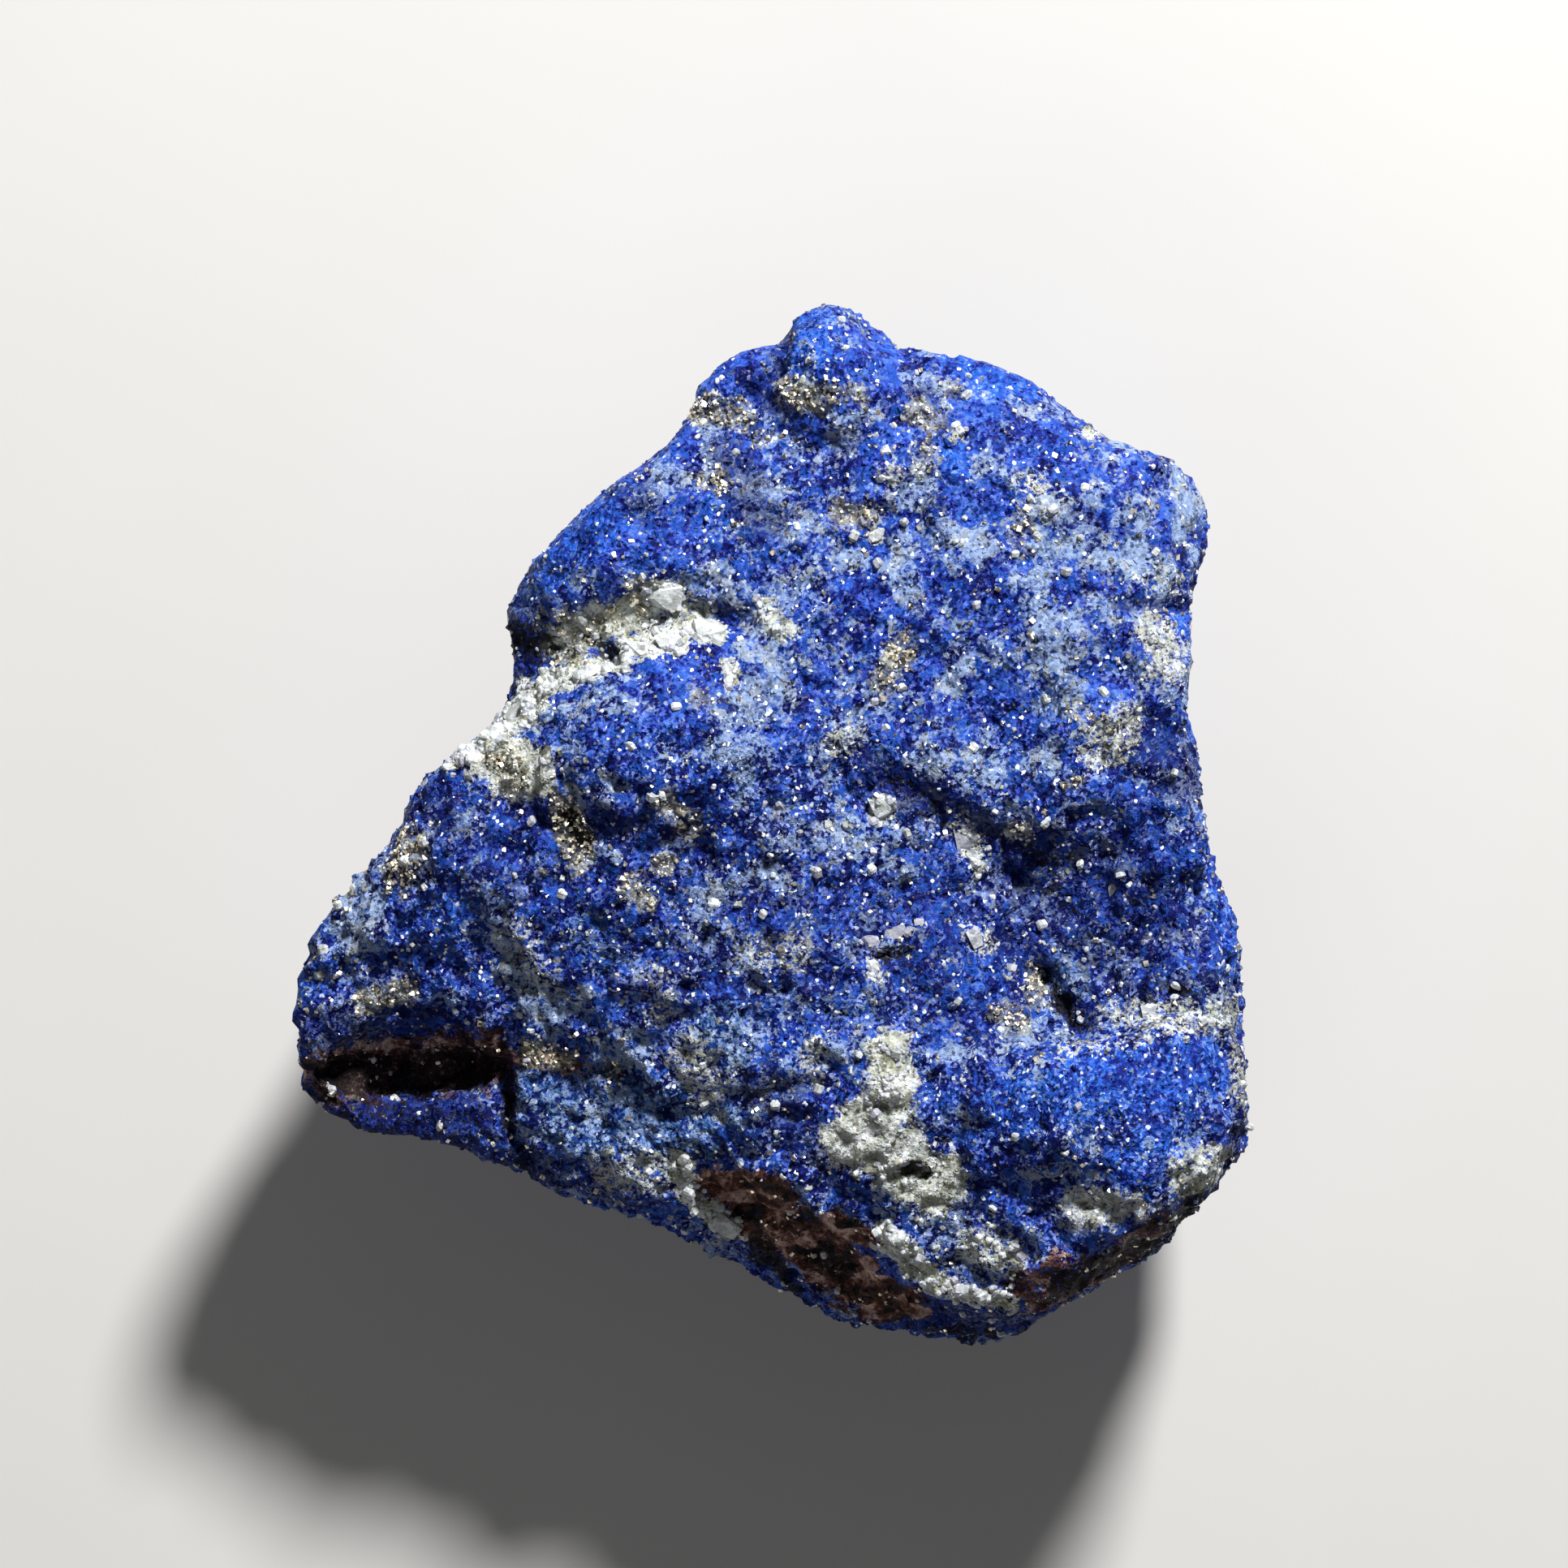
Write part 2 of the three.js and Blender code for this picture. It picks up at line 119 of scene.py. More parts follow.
STREAKS: dict[Mineral, tuple[Streak, ...]] = {
    Mineral.CALCITE: (
        Streak(0.75, ((-11.6, 7.3), (-9.8, 7.9), (-7.9, 8.5))),
        Streak(0.85, ((-7.4, 9.1), (-6.0, 9.4), (-4.9, 9.5))),
        Streak(0.7, ((-4.1, 10.1), (-2.8, 10.0))),
        Streak(0.45, ((-2.2, 8.3), (-2.1, 7.4)), 0.9),
        Streak(1.2, ((-12.6, 6.6), (-13.4, 5.6))),
        Streak(0.8, ((-13.4, 5.6), (-14.8, 4.6), (-16.2, 3.6))),
        Streak(0.9, ((-6.0, 11.7), (-4.9, 11.7))),
        Streak(0.5, ((-0.5, 11.4),), 0.8),
        Streak(0.8, ((5.4, 1.0),)),
        Streak(0.6, ((10.2, -1.2), (10.4, -1.9)), 0.6),
        Streak(0.6, ((20.2, -10.2), (21.4, -9.9), (22.5, -9.6)), 0.62),
        Streak(0.5, ((14.4, -11.4), (16.7, -11.1), (19.8, -10.4)), 0.4),
        Streak(0.8, ((19.4, -9.3),), 0.6),
        Streak(0.7, ((-9.8, 9.8), (-8.2, 10.3), (-6.8, 10.5)), 0.35),
        Streak(0.8, ((5.8, -20.8), (6.9, -22.0), (8.2, -23.2)), 0.95),
        Streak(0.7, ((8.2, -23.4), (10.4, -23.9), (12.2, -24.4)), 0.8),
        Streak(1.2, ((10.2, -21.4), (12.2, -22.2)), 0.6),
        Streak(0.8, ((-4.8, -17.2), (-4.2, -18.8)), 0.8),
        Streak(0.8, ((-3.4, -19.6), (-2.0, -20.8)), 0.9),
        Streak(0.6, ((5.0, -6.8), (5.2, -7.6)), 0.5),
        Streak(1.0, ((5.6, -11.4), (5.9, -13.4)), 0.8),
        Streak(0.8, ((10.2, -5.4), (10.8, -6.1)), 0.45),
        Streak(0.5, ((12.2, -7.3),), 0.5),
        Streak(0.7, ((5.2, 14.9),), 0.7),
        Streak(0.7, ((16.2, 20.2),), 0.6),
        Streak(0.6, ((9.4, 20.0),), 0.7),
        Streak(0.9, ((13.2, 17.4),), 0.5),
    ),
    Mineral.GREY: (
        Streak(1.9, ((-14.6, 3.6), (-12.6, 2.8)), 0.85),
        Streak(1.3, ((-10.8, 9.4), (-8.6, 10.4), (-7.0, 10.8)), 0.9),
        Streak(1.0, ((-6.4, 10.8), (-3.4, 10.9)), 0.6),
        Streak(0.9, ((-0.2, 10.6), (0.6, 10.0)), 0.7),
        Streak(1.6, ((17.6, 5.2), (16.6, 4.0)), 0.55),
        Streak(1.7, ((5.9, -11.6), (5.8, -13.6), (4.6, -15.6)), 0.85),
        Streak(2.0, ((4.2, -15.8), (6.4, -16.8), (8.2, -18.0)), 0.85),
        Streak(1.3, ((-6.0, -7.8), (-5.8, -9.4)), 0.4),
        Streak(1.5, ((-4.4, -11.6), (-3.2, -13.4)), 0.5),
        Streak(1.0, ((2.0, -11.4), (2.2, -12.2)), 0.5),
        Streak(1.6, ((13.6, 16.8),), 0.35),
        Streak(1.0, ((6.0, 18.0),), 0.5),
        Streak(1.2, ((3.6, 4.4),), 0.55),
        Streak(1.0, ((6.3, 8.6),), 0.6),
        Streak(1.0, ((-6.9, -3.4),), 0.5),
        Streak(1.5, ((-13.2, -5.6), (-11.8, -7.6)), 0.42),
        Streak(1.5, ((19.6, 9.8), (20.2, 8.2)), 0.62),
        Streak(1.2, ((19.2, 12.9), (20.6, 12.4)), 0.4),
        Streak(1.3, ((15.4, -19.6), (18.0, -19.2)), 0.65),
        Streak(1.5, ((21.2, -17.6), (22.8, -17.2)), 0.65),
        Streak(1.1, ((23.9, -9.0), (24.3, -14.0)), 0.5),
        Streak(1.3, ((-1.0, -6.4), (1.4, -6.4)), 0.45),
        Streak(1.1, ((17.6, -9.6), (20.0, -9.4), (22.6, -9.9)), 0.5),
        Streak(0.9, ((9.8, 0.1), (10.0, -1.0)), 0.5),
        Streak(1.4, ((-8.4, -17.6), (-6.2, -17.8)), 0.5),
        Streak(1.6, ((10.4, -20.8), (12.0, -21.6)), 0.45),
    ),
    Mineral.PYRITE: (
        Streak(0.9, ((1.0, 22.1), (1.9, 21.8))),
        Streak(0.7, ((3.1, 22.1), (4.4, 22.0)), 0.9),
        Streak(0.9, ((7.3, 21.1), (8.4, 20.6))),
        Streak(0.7, ((9.2, 22.4),), 0.8),
        Streak(0.9, ((-3.4, 21.3), (-1.7, 21.1))),
        Streak(0.7, ((-0.6, 19.8),), 0.8),
        Streak(0.8, ((-3.4, 17.7), (-2.4, 17.4))),
        Streak(0.9, ((3.4, 16.1), (4.8, 15.8))),
        Streak(0.8, ((8.0, 19.2), (7.6, 18.2)), 0.8),
        Streak(0.7, ((12.9, 15.9), (12.5, 14.9)), 0.8),
        Streak(0.8, ((-6.9, 12.2), (-6.7, 11.4))),
        Streak(0.8, ((-10.5, 10.4), (-9.8, 9.6)), 0.8),
        Streak(0.9, ((6.8, 9.2), (5.6, 7.4))),
        Streak(0.8, ((15.6, 6.0), (17.4, 4.6)), 0.6),
        Streak(0.6, ((15.4, 2.2),), 0.8),
        Streak(1.1, ((-18.6, -0.8), (-19.2, -2.6))),
        Streak(0.9, ((-5.2, 1.1), (-4.2, 0.2))),
        Streak(1.2, ((-10.6, 0.8), (-9.9, -1.2))),
        Streak(0.7, ((-5.6, -1.8),)),
        Streak(0.8, ((-7.2, -3.0), (-6.6, -3.8)), 0.9),
        Streak(0.8, ((-12.4, -11.6), (-10.8, -12.0))),
        Streak(0.7, ((-8.2, -12.7),), 0.8),
        Streak(0.7, ((12.6, -0.3),)),
        Streak(0.8, ((13.4, -7.4), (13.5, -8.8))),
        Streak(0.8, ((11.6, -9.4), (12.6, -10.0)), 0.9),
        Streak(0.7, ((-3.8, 6.6),)),
        Streak(0.7, ((-20.9, -9.0), (-18.8, -8.4))),
        Streak(1.1, ((-13.8, 3.6), (-13.2, 2.8))),
        Streak(0.7, ((-9.4, 10.2), (-7.9, 10.9)), 0.75),
        Streak(0.5, ((-11.0, 8.4), (-10.2, 8.7)), 0.7),
    ),
    Mineral.RUST: (
        Streak(1.9, ((-22.6, -12.6), (-18.8, -12.3), (-14.8, -12.0)), 0.95),
        Streak(0.8, ((-13.2, -11.7), (-10.2, -12.2)), 0.7),
        Streak(1.2, ((-2.9, -18.3), (0.2, -18.8))),
        Streak(2.1, ((-0.8, -20.4), (1.8, -21.4), (4.0, -23.0), (6.2, -24.6))),
        Streak(0.9, ((3.0, -20.2), (4.8, -21.4))),
        Streak(1.1, ((12.6, -23.6), (14.4, -22.4)), 0.7),
        Streak(1.6, ((14.0, -24.6), (17.2, -22.8), (20.0, -21.0)), 0.8),
    ),
    # Dark navy, most of it painted shade: under the shelf and the ledges, in the hollows, along the shaded
    # lower rims and right side, and on the foot where fingers shaded it.
    Mineral.NAVY_AND_SHADE: (
        Streak(5.5, ((-5.0, -4.6), (3.0, -5.4), (10.0, -6.4)), 0.40),
        Streak(4.5, ((14.0, -3.0), (16.4, -2.4), (18.6, -6.0)), 0.52),
        Streak(2.4, ((12.8, -1.4), (15.2, -3.8)), 0.65),
        Streak(2.2, ((17.4, -1.8), (18.8, -3.8)), 0.8),
        Streak(1.1, ((11.9, -5.6), (13.4, -6.8))),
        Streak(0.8, ((13.8, -7.6), (15.8, -10.0))),
        Streak(1.2, ((5.2, 2.8), (7.0, 1.8), (9.0, 0.9), (12.0, -0.4))),
        Streak(1.9, ((19.4, 4.2), (20.8, 2.6)), 0.8),
        Streak(1.2, ((-11.4, 0.8), (-9.4, 0.0), (-6.8, 0.2)), 0.8),
        Streak(1.1, ((-4.4, -0.6),), 0.8),
        Streak(3.0, ((-15.6, -1.6), (-12.0, -2.4)), 0.45),
        Streak(1.5, ((-17.0, 1.2),), 0.8),
        Streak(1.5, ((-23.6, -10.6), (-21.6, -10.6), (-18.6, -9.9)), 0.9),
        Streak(1.7, ((-13.2, 12.2), (-12.8, 9.8)), 0.75),
        Streak(0.8, ((-8.4, 12.3), (-8.1, 11.4)), 0.9),
        Streak(0.7, ((-4.2, 11.2), (-2.8, 10.9), (-1.6, 10.5)), 0.8),
        Streak(1.1, ((-2.4, 19.0), (-1.4, 18.0)), 0.8),
        Streak(1.3, ((-1.4, 16.4), (-0.4, 15.6)), 0.8),
        Streak(1.2, ((-7.4, 16.8), (-6.0, 16.0)), 0.6),
        Streak(1.1, ((-0.6, 22.6), (1.6, 21.2)), 0.8),
        Streak(0.6, ((7.2, 22.1), (8.2, 21.9)), 0.8),
        Streak(1.6, ((-0.4, -13.2), (1.2, -15.4)), 0.8),
        Streak(1.2, ((-10.4, -12.9), (-8.2, -13.2)), 0.5),
        Streak(0.5, ((0.74, 25.1), (0.3, 23.8)), 0.9),
        Streak(1.4, ((7.2, -24.9), (10.0, -25.7), (13.2, -25.6))),
        Streak(1.4, ((0.2, -24.4), (2.6, -25.6))),
        Streak(0.8, ((0.5, -20.5), (1.0, -20.5))),
        Streak(1.6, ((19.0, -21.0), (21.4, -19.4), (23.0, -18.4)), 0.8),
        Streak(1.3, ((-23.6, -13.8), (-20.4, -14.9), (-16.0, -14.8))),
        Streak(1.5, ((-16.0, -15.6), (-12.4, -17.6), (-8.4, -18.8)), 0.6),
        Streak(1.1, ((23.9, -8.5), (24.4, -15.5)), 0.85),
        Streak(0.45, ((17.6, 11.4), (21.6, 11.3)), 0.9),
    ),
    Mineral.AZURE: (
        # Vivid blue; this streak along the rounded upper-left shoulder is also a painted highlight where the
        # edge catches the light.
        Streak(1.7, ((-12.2, 13.2), (-10.8, 14.6), (-9.0, 15.8))),
        Streak(0.9, ((9.2, 19.3), (9.3, 18.4))),
        Streak(1.4, ((9.8, 24.0), (12.8, 22.8))),
        Streak(1.6, ((2.4, 25.6), (2.2, 23.8)), 0.7),
        Streak(1.1, ((-2.6, 16.4),)),
        Streak(0.7, ((-3.6, 21.9),), 0.8),
        Streak(0.8, ((5.4, 14.2),), 0.8),
        Streak(2.2, ((21.4, -12.2), (17.4, -13.2), (12.6, -14.0))),
        Streak(1.4, ((19.6, -16.2), (18.4, -17.0))),
        # Vivid blue; along the right edge it is also a painted highlight on the side that faces the light.
        Streak(1.5, ((23.2, -2.6), (23.8, -6.6))),
        Streak(1.6, ((-16.6, -4.0), (-15.6, -4.8))),
        Streak(1.2, ((0.2, -9.8), (1.4, -10.8)), 0.9),
        Streak(1.8, ((9.8, -5.8), (10.6, -8.0)), 0.6),
        Streak(1.0, ((-23.4, -8.0), (-22.8, -6.6)), 0.6),
        Streak(0.9, ((20.6, 10.4),), 0.8),
    ),
    Mineral.TEAL: (
        Streak(3.0, ((-11.4, -14.0), (-7.6, -15.2), (-4.6, -15.4)), 0.7),
        Streak(1.4, ((-2.6, -9.8), (-2.0, -11.2)), 0.8),
        Streak(0.7, ((-2.4, -14.6),)),
        Streak(1.2, ((14.8, -7.4), (15.6, -8.0)), 0.7),
        Streak(0.8, ((5.6, 3.4),), 0.8),
        Streak(1.6, ((22.6, -8.4), (22.9, -9.4)), 0.6),
        Streak(1.4, ((-12.8, 11.6),), 0.6),
        Streak(1.4, ((-9.6, -5.2), (-8.6, -6.6)), 0.5),
        Streak(1.3, ((3.2, -9.0), (5.0, -9.4)), 0.5),
    ),
    # Near-black painted shade: in holes, cracks, the gash and the cavity, under crystals and ledges, and
    # along the shaded foot and rims.
    Mineral.PAINTED_SHADE: (
        Streak(1.5, ((-22.6, -12.9), (-19.0, -12.7), (-15.2, -12.4)), 0.85),
        Streak(0.6, ((-8.6, 9.0), (-8.2, 8.8))),
        Streak(0.55, ((14.5, -8.6), (15.8, -10.2))),
        Streak(1.2, ((-0.8, -22.0), (0.2, -23.6), (1.4, -25.4)), 0.9),
        Streak(0.9, ((2.4, -22.2), (3.6, -22.8)), 0.8),
        Streak(1.1, ((3.6, -26.0), (8.0, -26.8), (11.6, -26.8)), 0.7),
        Streak(0.6, ((7.0, -17.4), (7.6, -17.6))),
        Streak(0.9, ((-10.4, 0.3), (-9.8, -0.7)), 0.85),
        Streak(0.45, ((5.6, -6.5), (6.8, -6.4)), 0.85),
        Streak(0.45, ((-13.6, -12.6), (-13.6, -15.2)), 0.9),
        Streak(0.7, ((-13.2, -16.8), (-12.6, -17.6)), 0.6),
        Streak(1.1, ((-13.2, 9.8), (-11.8, 9.2)), 0.75),
        Streak(1.3, ((15.0, -23.6), (18.6, -21.8), (21.6, -19.8)), 0.8),
        Streak(0.4, ((20.4, -8.3), (21.0, -8.4)), 0.8),
        Streak(1.2, ((-23.4, -14.2), (-19.6, -15.2), (-15.2, -15.4)), 0.42),
        Streak(0.7, ((13.2, -1.4), (14.8, -1.6)), 0.5),
        Streak(0.7, ((14.6, -3.0), (15.4, -4.4)), 0.45),
        Streak(0.6, ((6.2, 2.3), (8.2, 1.0)), 0.45),
        Streak(0.5, ((-11.3, 8.7), (-10.3, 9.1)), 0.62),
        Streak(0.4, ((-9.7, 9.7), (-8.9, 9.5)), 0.62),
        Streak(0.4, ((-6.5, 10.3), (-5.6, 10.5)), 0.6),
        Streak(0.5, ((-13.9, 3.3), (-13.3, 2.9)), 0.55),
    ),
    Mineral.PALE: (
        Streak(3.2, ((18.6, 18.0), (20.6, 15.6), (20.2, 12.2)), 0.8),
        Streak(3.6, ((15.0, 11.4), (12.0, 13.6)), 0.6),
        Streak(3.0, ((9.6, 5.2), (14.4, 3.6)), 0.5),
        Streak(1.5, ((13.2, 17.2),), 0.8),
        Streak(1.6, ((-3.2, -10.4), (1.0, -10.8), (4.0, -10.6)), 0.6),
        Streak(1.8, ((-2.6, -4.0), (0.4, -2.0)), 0.6),
        Streak(1.8, ((4.4, -1.0), (7.4, -2.6)), 0.6),
        Streak(1.6, ((-2.2, 3.8), (-1.6, 5.6)), 0.6),
        Streak(2.0, ((5.6, 14.2), (8.2, 12.6)), 0.6),
        Streak(1.8, ((2.4, 8.4), (-0.6, 8.0)), 0.7),
        Streak(2.2, ((-7.2, -14.6), (-10.6, -13.6)), 0.3),
        Streak(1.6, ((9.4, -11.6), (14.6, -11.4)), 0.6),
        Streak(1.5, ((-21.4, -5.0), (-20.6, -2.2)), 0.9),
        Streak(1.8, ((-6.0, -8.0), (-5.6, -9.6)), 0.9),
        # Grey-blue haze, laid along this crease partly as painted light to lift its shade.
        Streak(1.8, ((-14.6, -5.4), (-11.0, -9.0), (-7.6, -12.4)), 0.75),
    ),
}

DENTS: tuple[Dent, ...] = (
    Dent(1.6, 0.8, ((-8.6, 9.0), (-8.2, 8.8))),
    Dent(0.5, 0.8, ((-4.2, 11.2), (-2.8, 10.9), (-1.4, 10.4))),
    Dent(0.7, 0.55, ((7.1, -17.4),)),
    Dent(0.6, 0.45, ((7.9, -17.9),)),
    Dent(0.8, 0.5, ((5.2, -6.5), (6.8, -6.4))),
    Dent(0.6, 0.5, ((17.8, 11.4), (21.6, 11.2))),
    Dent(1.1, 0.6, ((13.8, -7.4), (14.6, -8.6), (15.9, -10.4))),
    Dent(0.5, 0.5, ((-10.6, -12.2), (-7.6, -12.7))),
    Dent(1.0, 0.6, ((-13.7, -12.0), (-13.6, -15.4), (-12.6, -17.6))),
    Dent(0.8, 1.0, ((-10.4, 0.3), (-9.8, -0.7))),
    Dent(0.3, 0.7, ((6.0, 2.3), (8.6, 1.0), (12.0, -0.6))),
    Dent(0.8, 0.6, ((0.74, 25.4), (0.3, 23.6), (-1.0, 21.6))),
    Dent(0.5, 0.4, ((20.4, -8.3), (21.0, -8.4))),
    Dent(-0.35, 0.6, ((14.2, -11.6), (18.6, -10.8), (22.8, -10.2))),
)


def smoothstep(low: float, high: float, value: np.ndarray) -> np.ndarray:
    """Eases from 0 at low to 1 at high.

    Args:
        low: value that gives 0.
        high: value that gives 1.
        value: values to ease.

    Returns:
        The eased values.
    """
    share = np.clip((value - low) / (high - low), 0.0, 1.0)
    return share * share * (3.0 - 2.0 * share)


def path_distance(points: np.ndarray, path: Path) -> tuple[np.ndarray, np.ndarray]:
    """Measures how far points lie from a line, seen from above.

    Args:
        points: places in millimetres, one row each.
        path: the line's corners in millimetres.

    Returns:
        The distances in millimetres, and how far along the line the nearest spot is, counted in corners.
    """
    flat = points[:, :2]
    corners = np.array(path if len(path) > 1 else path * 2, float)
    nearest = np.full(len(flat), np.inf)
    passed = np.zeros(len(flat))
    for number, (start, end) in enumerate(zip(corners[:-1], corners[1:])):
        along = end - start
        share = np.clip((flat - start) @ along / max(along @ along, TINY), 0.0, 1.0)
        away = np.linalg.norm(flat - start - share[:, None] * along, axis=1)
        passed = np.where(away < nearest, number + share, passed)
        nearest = np.minimum(nearest, away)
    return nearest, passed


def noise_at(points: np.ndarray, size: float, swell: Swell) -> np.ndarray:
    """Smooth noise of about -1 to 1 at each point.

    Args:
        points: places in millimetres, one row each.
        size: size of a swell in millimetres.
        swell: which noise.

    Returns:
        The noise values.
    """
    shift = Vector([swell.value * step for step in NOISE_STEP])
    return np.array([noise.noise(Vector(p) / size + shift) for p in points])


def store(mesh: bpy.types.Mesh, name: Mineral | Mark, values: np.ndarray) -> None:
    """Stores one number for each vertex.

    Args:
        mesh: mesh that takes the numbers.
        name: what the numbers say.
        values: one number for each vertex.
    """
    attribute = mesh.attributes.new(name.value, "FLOAT", "POINT")
    attribute.data.foreach_set("value", values.astype(np.float32))


def vertex_array(mesh: bpy.types.Mesh) -> np.ndarray:
    """Reads a mesh's vertices.

    Args:
        mesh: mesh to read.

    Returns:
        The places in metres, one row each.
    """
    flat = np.empty(len(mesh.vertices) * 3, np.float32)
    mesh.vertices.foreach_get("co", flat)
    return flat.reshape(-1, 3).astype(float)


@dataclass
class MineralMap:
    """Says how much of each mineral is at a place on the stone; sizes in millimetres."""

    wobble: float = 0.45
    wobble_size: float = 0.9
    edge: Span = (0.5, 1.2)
    broken_from: float = 8.0
    broken_to: float = 2.0
    fade: Span = (6.0, 13.0)
    fade_wobble: float = 2.5
    fade_size: float = 3.0
    stray_from: float = 14.5
    stray: float = 0.75
    stray_size: float = 3.6
    beside: float = 0.35
    widen: float = 1.01
    slack: float = 1.4
    steep: float = 0.75
    heights: dict[Streak, np.ndarray] = field(default_factory=dict)

    def broken(self, points: np.ndarray) -> np.ndarray:
        """Says how rough the break is: 0 on the fine-grained plateau, 1 on the splintery lower half.

        Args:
            points: places in millimetres, one row each.

        Returns:
            The roughness of the break.
        """
        return 1.0 - smoothstep(self.broken_to, self.broken_from, points[:, 1])

    def settle(self, places: np.ndarray) -> None:
        """Finds how high each streak lies, from the topmost of the rock's vertices beside its corners.

        Args:
            places: the rock's vertices in millimetres.
        """
        for streak in (streak for streaks in STREAKS.values() for streak in streaks):
            heights = []
            for corner in streak.path:
                away = np.linalg.norm(places[:, :2] - np.array(corner), axis=1)
                close = away < max(self.beside, away.min() * self.widen)
                heights.append(places[close, 2].max())
            self.heights[streak] = np.array(heights)

    def weights(self, points: np.ndarray) -> dict[Mineral, np.ndarray]:
        """Works out each mineral's share.

        Args:
            points: places in millimetres, one row each.

        Returns:
            A mask from 0 to 1 for each mineral.
        """
        wander = self.wobble * noise_at(points, self.wobble_size, Swell.EDGE)
        height = points[:, 2] + self.fade_wobble * noise_at(points, self.fade_size, Swell.FADE)
        shown = smoothstep(*self.fade, height)
        strayed = self._strayed(points)
        masks = {}
        for mineral, streaks in STREAKS.items():
            mask = np.zeros(len(points))
            for streak in streaks:
                away = self._away(strayed, streak) / streak.reach + wander
                mask = np.maximum(mask, streak.strength * (1.0 - smoothstep(*self.edge, away)))
            masks[mineral] = mask * shown
        return masks

    def dress(self, mesh: bpy.types.Mesh, points: np.ndarray, repeat: int = 1) -> None:
        """Stores the masks on a mesh as point attributes.

        Args:
            mesh: mesh that takes the masks.
            points: places in millimetres at which the masks are read.
            repeat: vertices of the mesh that share one place.
        """
        for mineral, mask in self.weights(points).items():
            store(mesh, mineral, np.repeat(mask, repeat))
        store(mesh, Mark.BROKEN, np.repeat(self.broken(points), repeat))

    def _away(self, points: np.ndarray, streak: Streak) -> np.ndarray:
        """Measures how far points lie from a streak, sideways and below or above it.

        Args:
            points: places in millimetres, one row each.
            streak: the streak.

        Returns:
            The distances in millimetres.
        """
        aside, passed = path_distance(points, streak.path)
        heights = self.heights[streak]
        drop = np.abs(points[:, 2] - np.interp(passed, np.arange(len(heights)), heights))
        return np.hypot(aside, self.steep * np.maximum(drop - self.slack, 0.0))

    def _strayed(self, points: np.ndarray) -> np.ndarray:
        """Shifts places sideways, the further the lower they lie, so that no mineral runs straight down.

        Args:
            points: places in millimetres, one row each.

        Returns:
            The shifted places.
        """
        reach = self.stray * np.maximum(self.stray_from - points[:, 2], 0.0)
        swells = (Swell.STRAY_X, Swell.STRAY_Y)
        shift = [reach * noise_at(points, self.stray_size, swell) for swell in swells]
        return points + np.stack([*shift, np.zeros(len(points))], axis=1)


@dataclass(frozen=True)
class Clouds:
    """Cloudy noise: size in millimetres, number of finer octaves, their strength and a shift in metres."""

    size: float
    detail: float
    roughness: float
    seed: float = 0.0


@dataclass(frozen=True)
class Spread:
    """A range of values, and the two ends that it is spread over."""

    low: float
    high: float
    first: float = 0.0
    last: float = 1.0


@dataclass(frozen=True)
class Grain:
    """Crystal grains: their size and how far their edges stray, in millimetres, and how far they lean."""

    size: float
    wander: float
    tilt: float


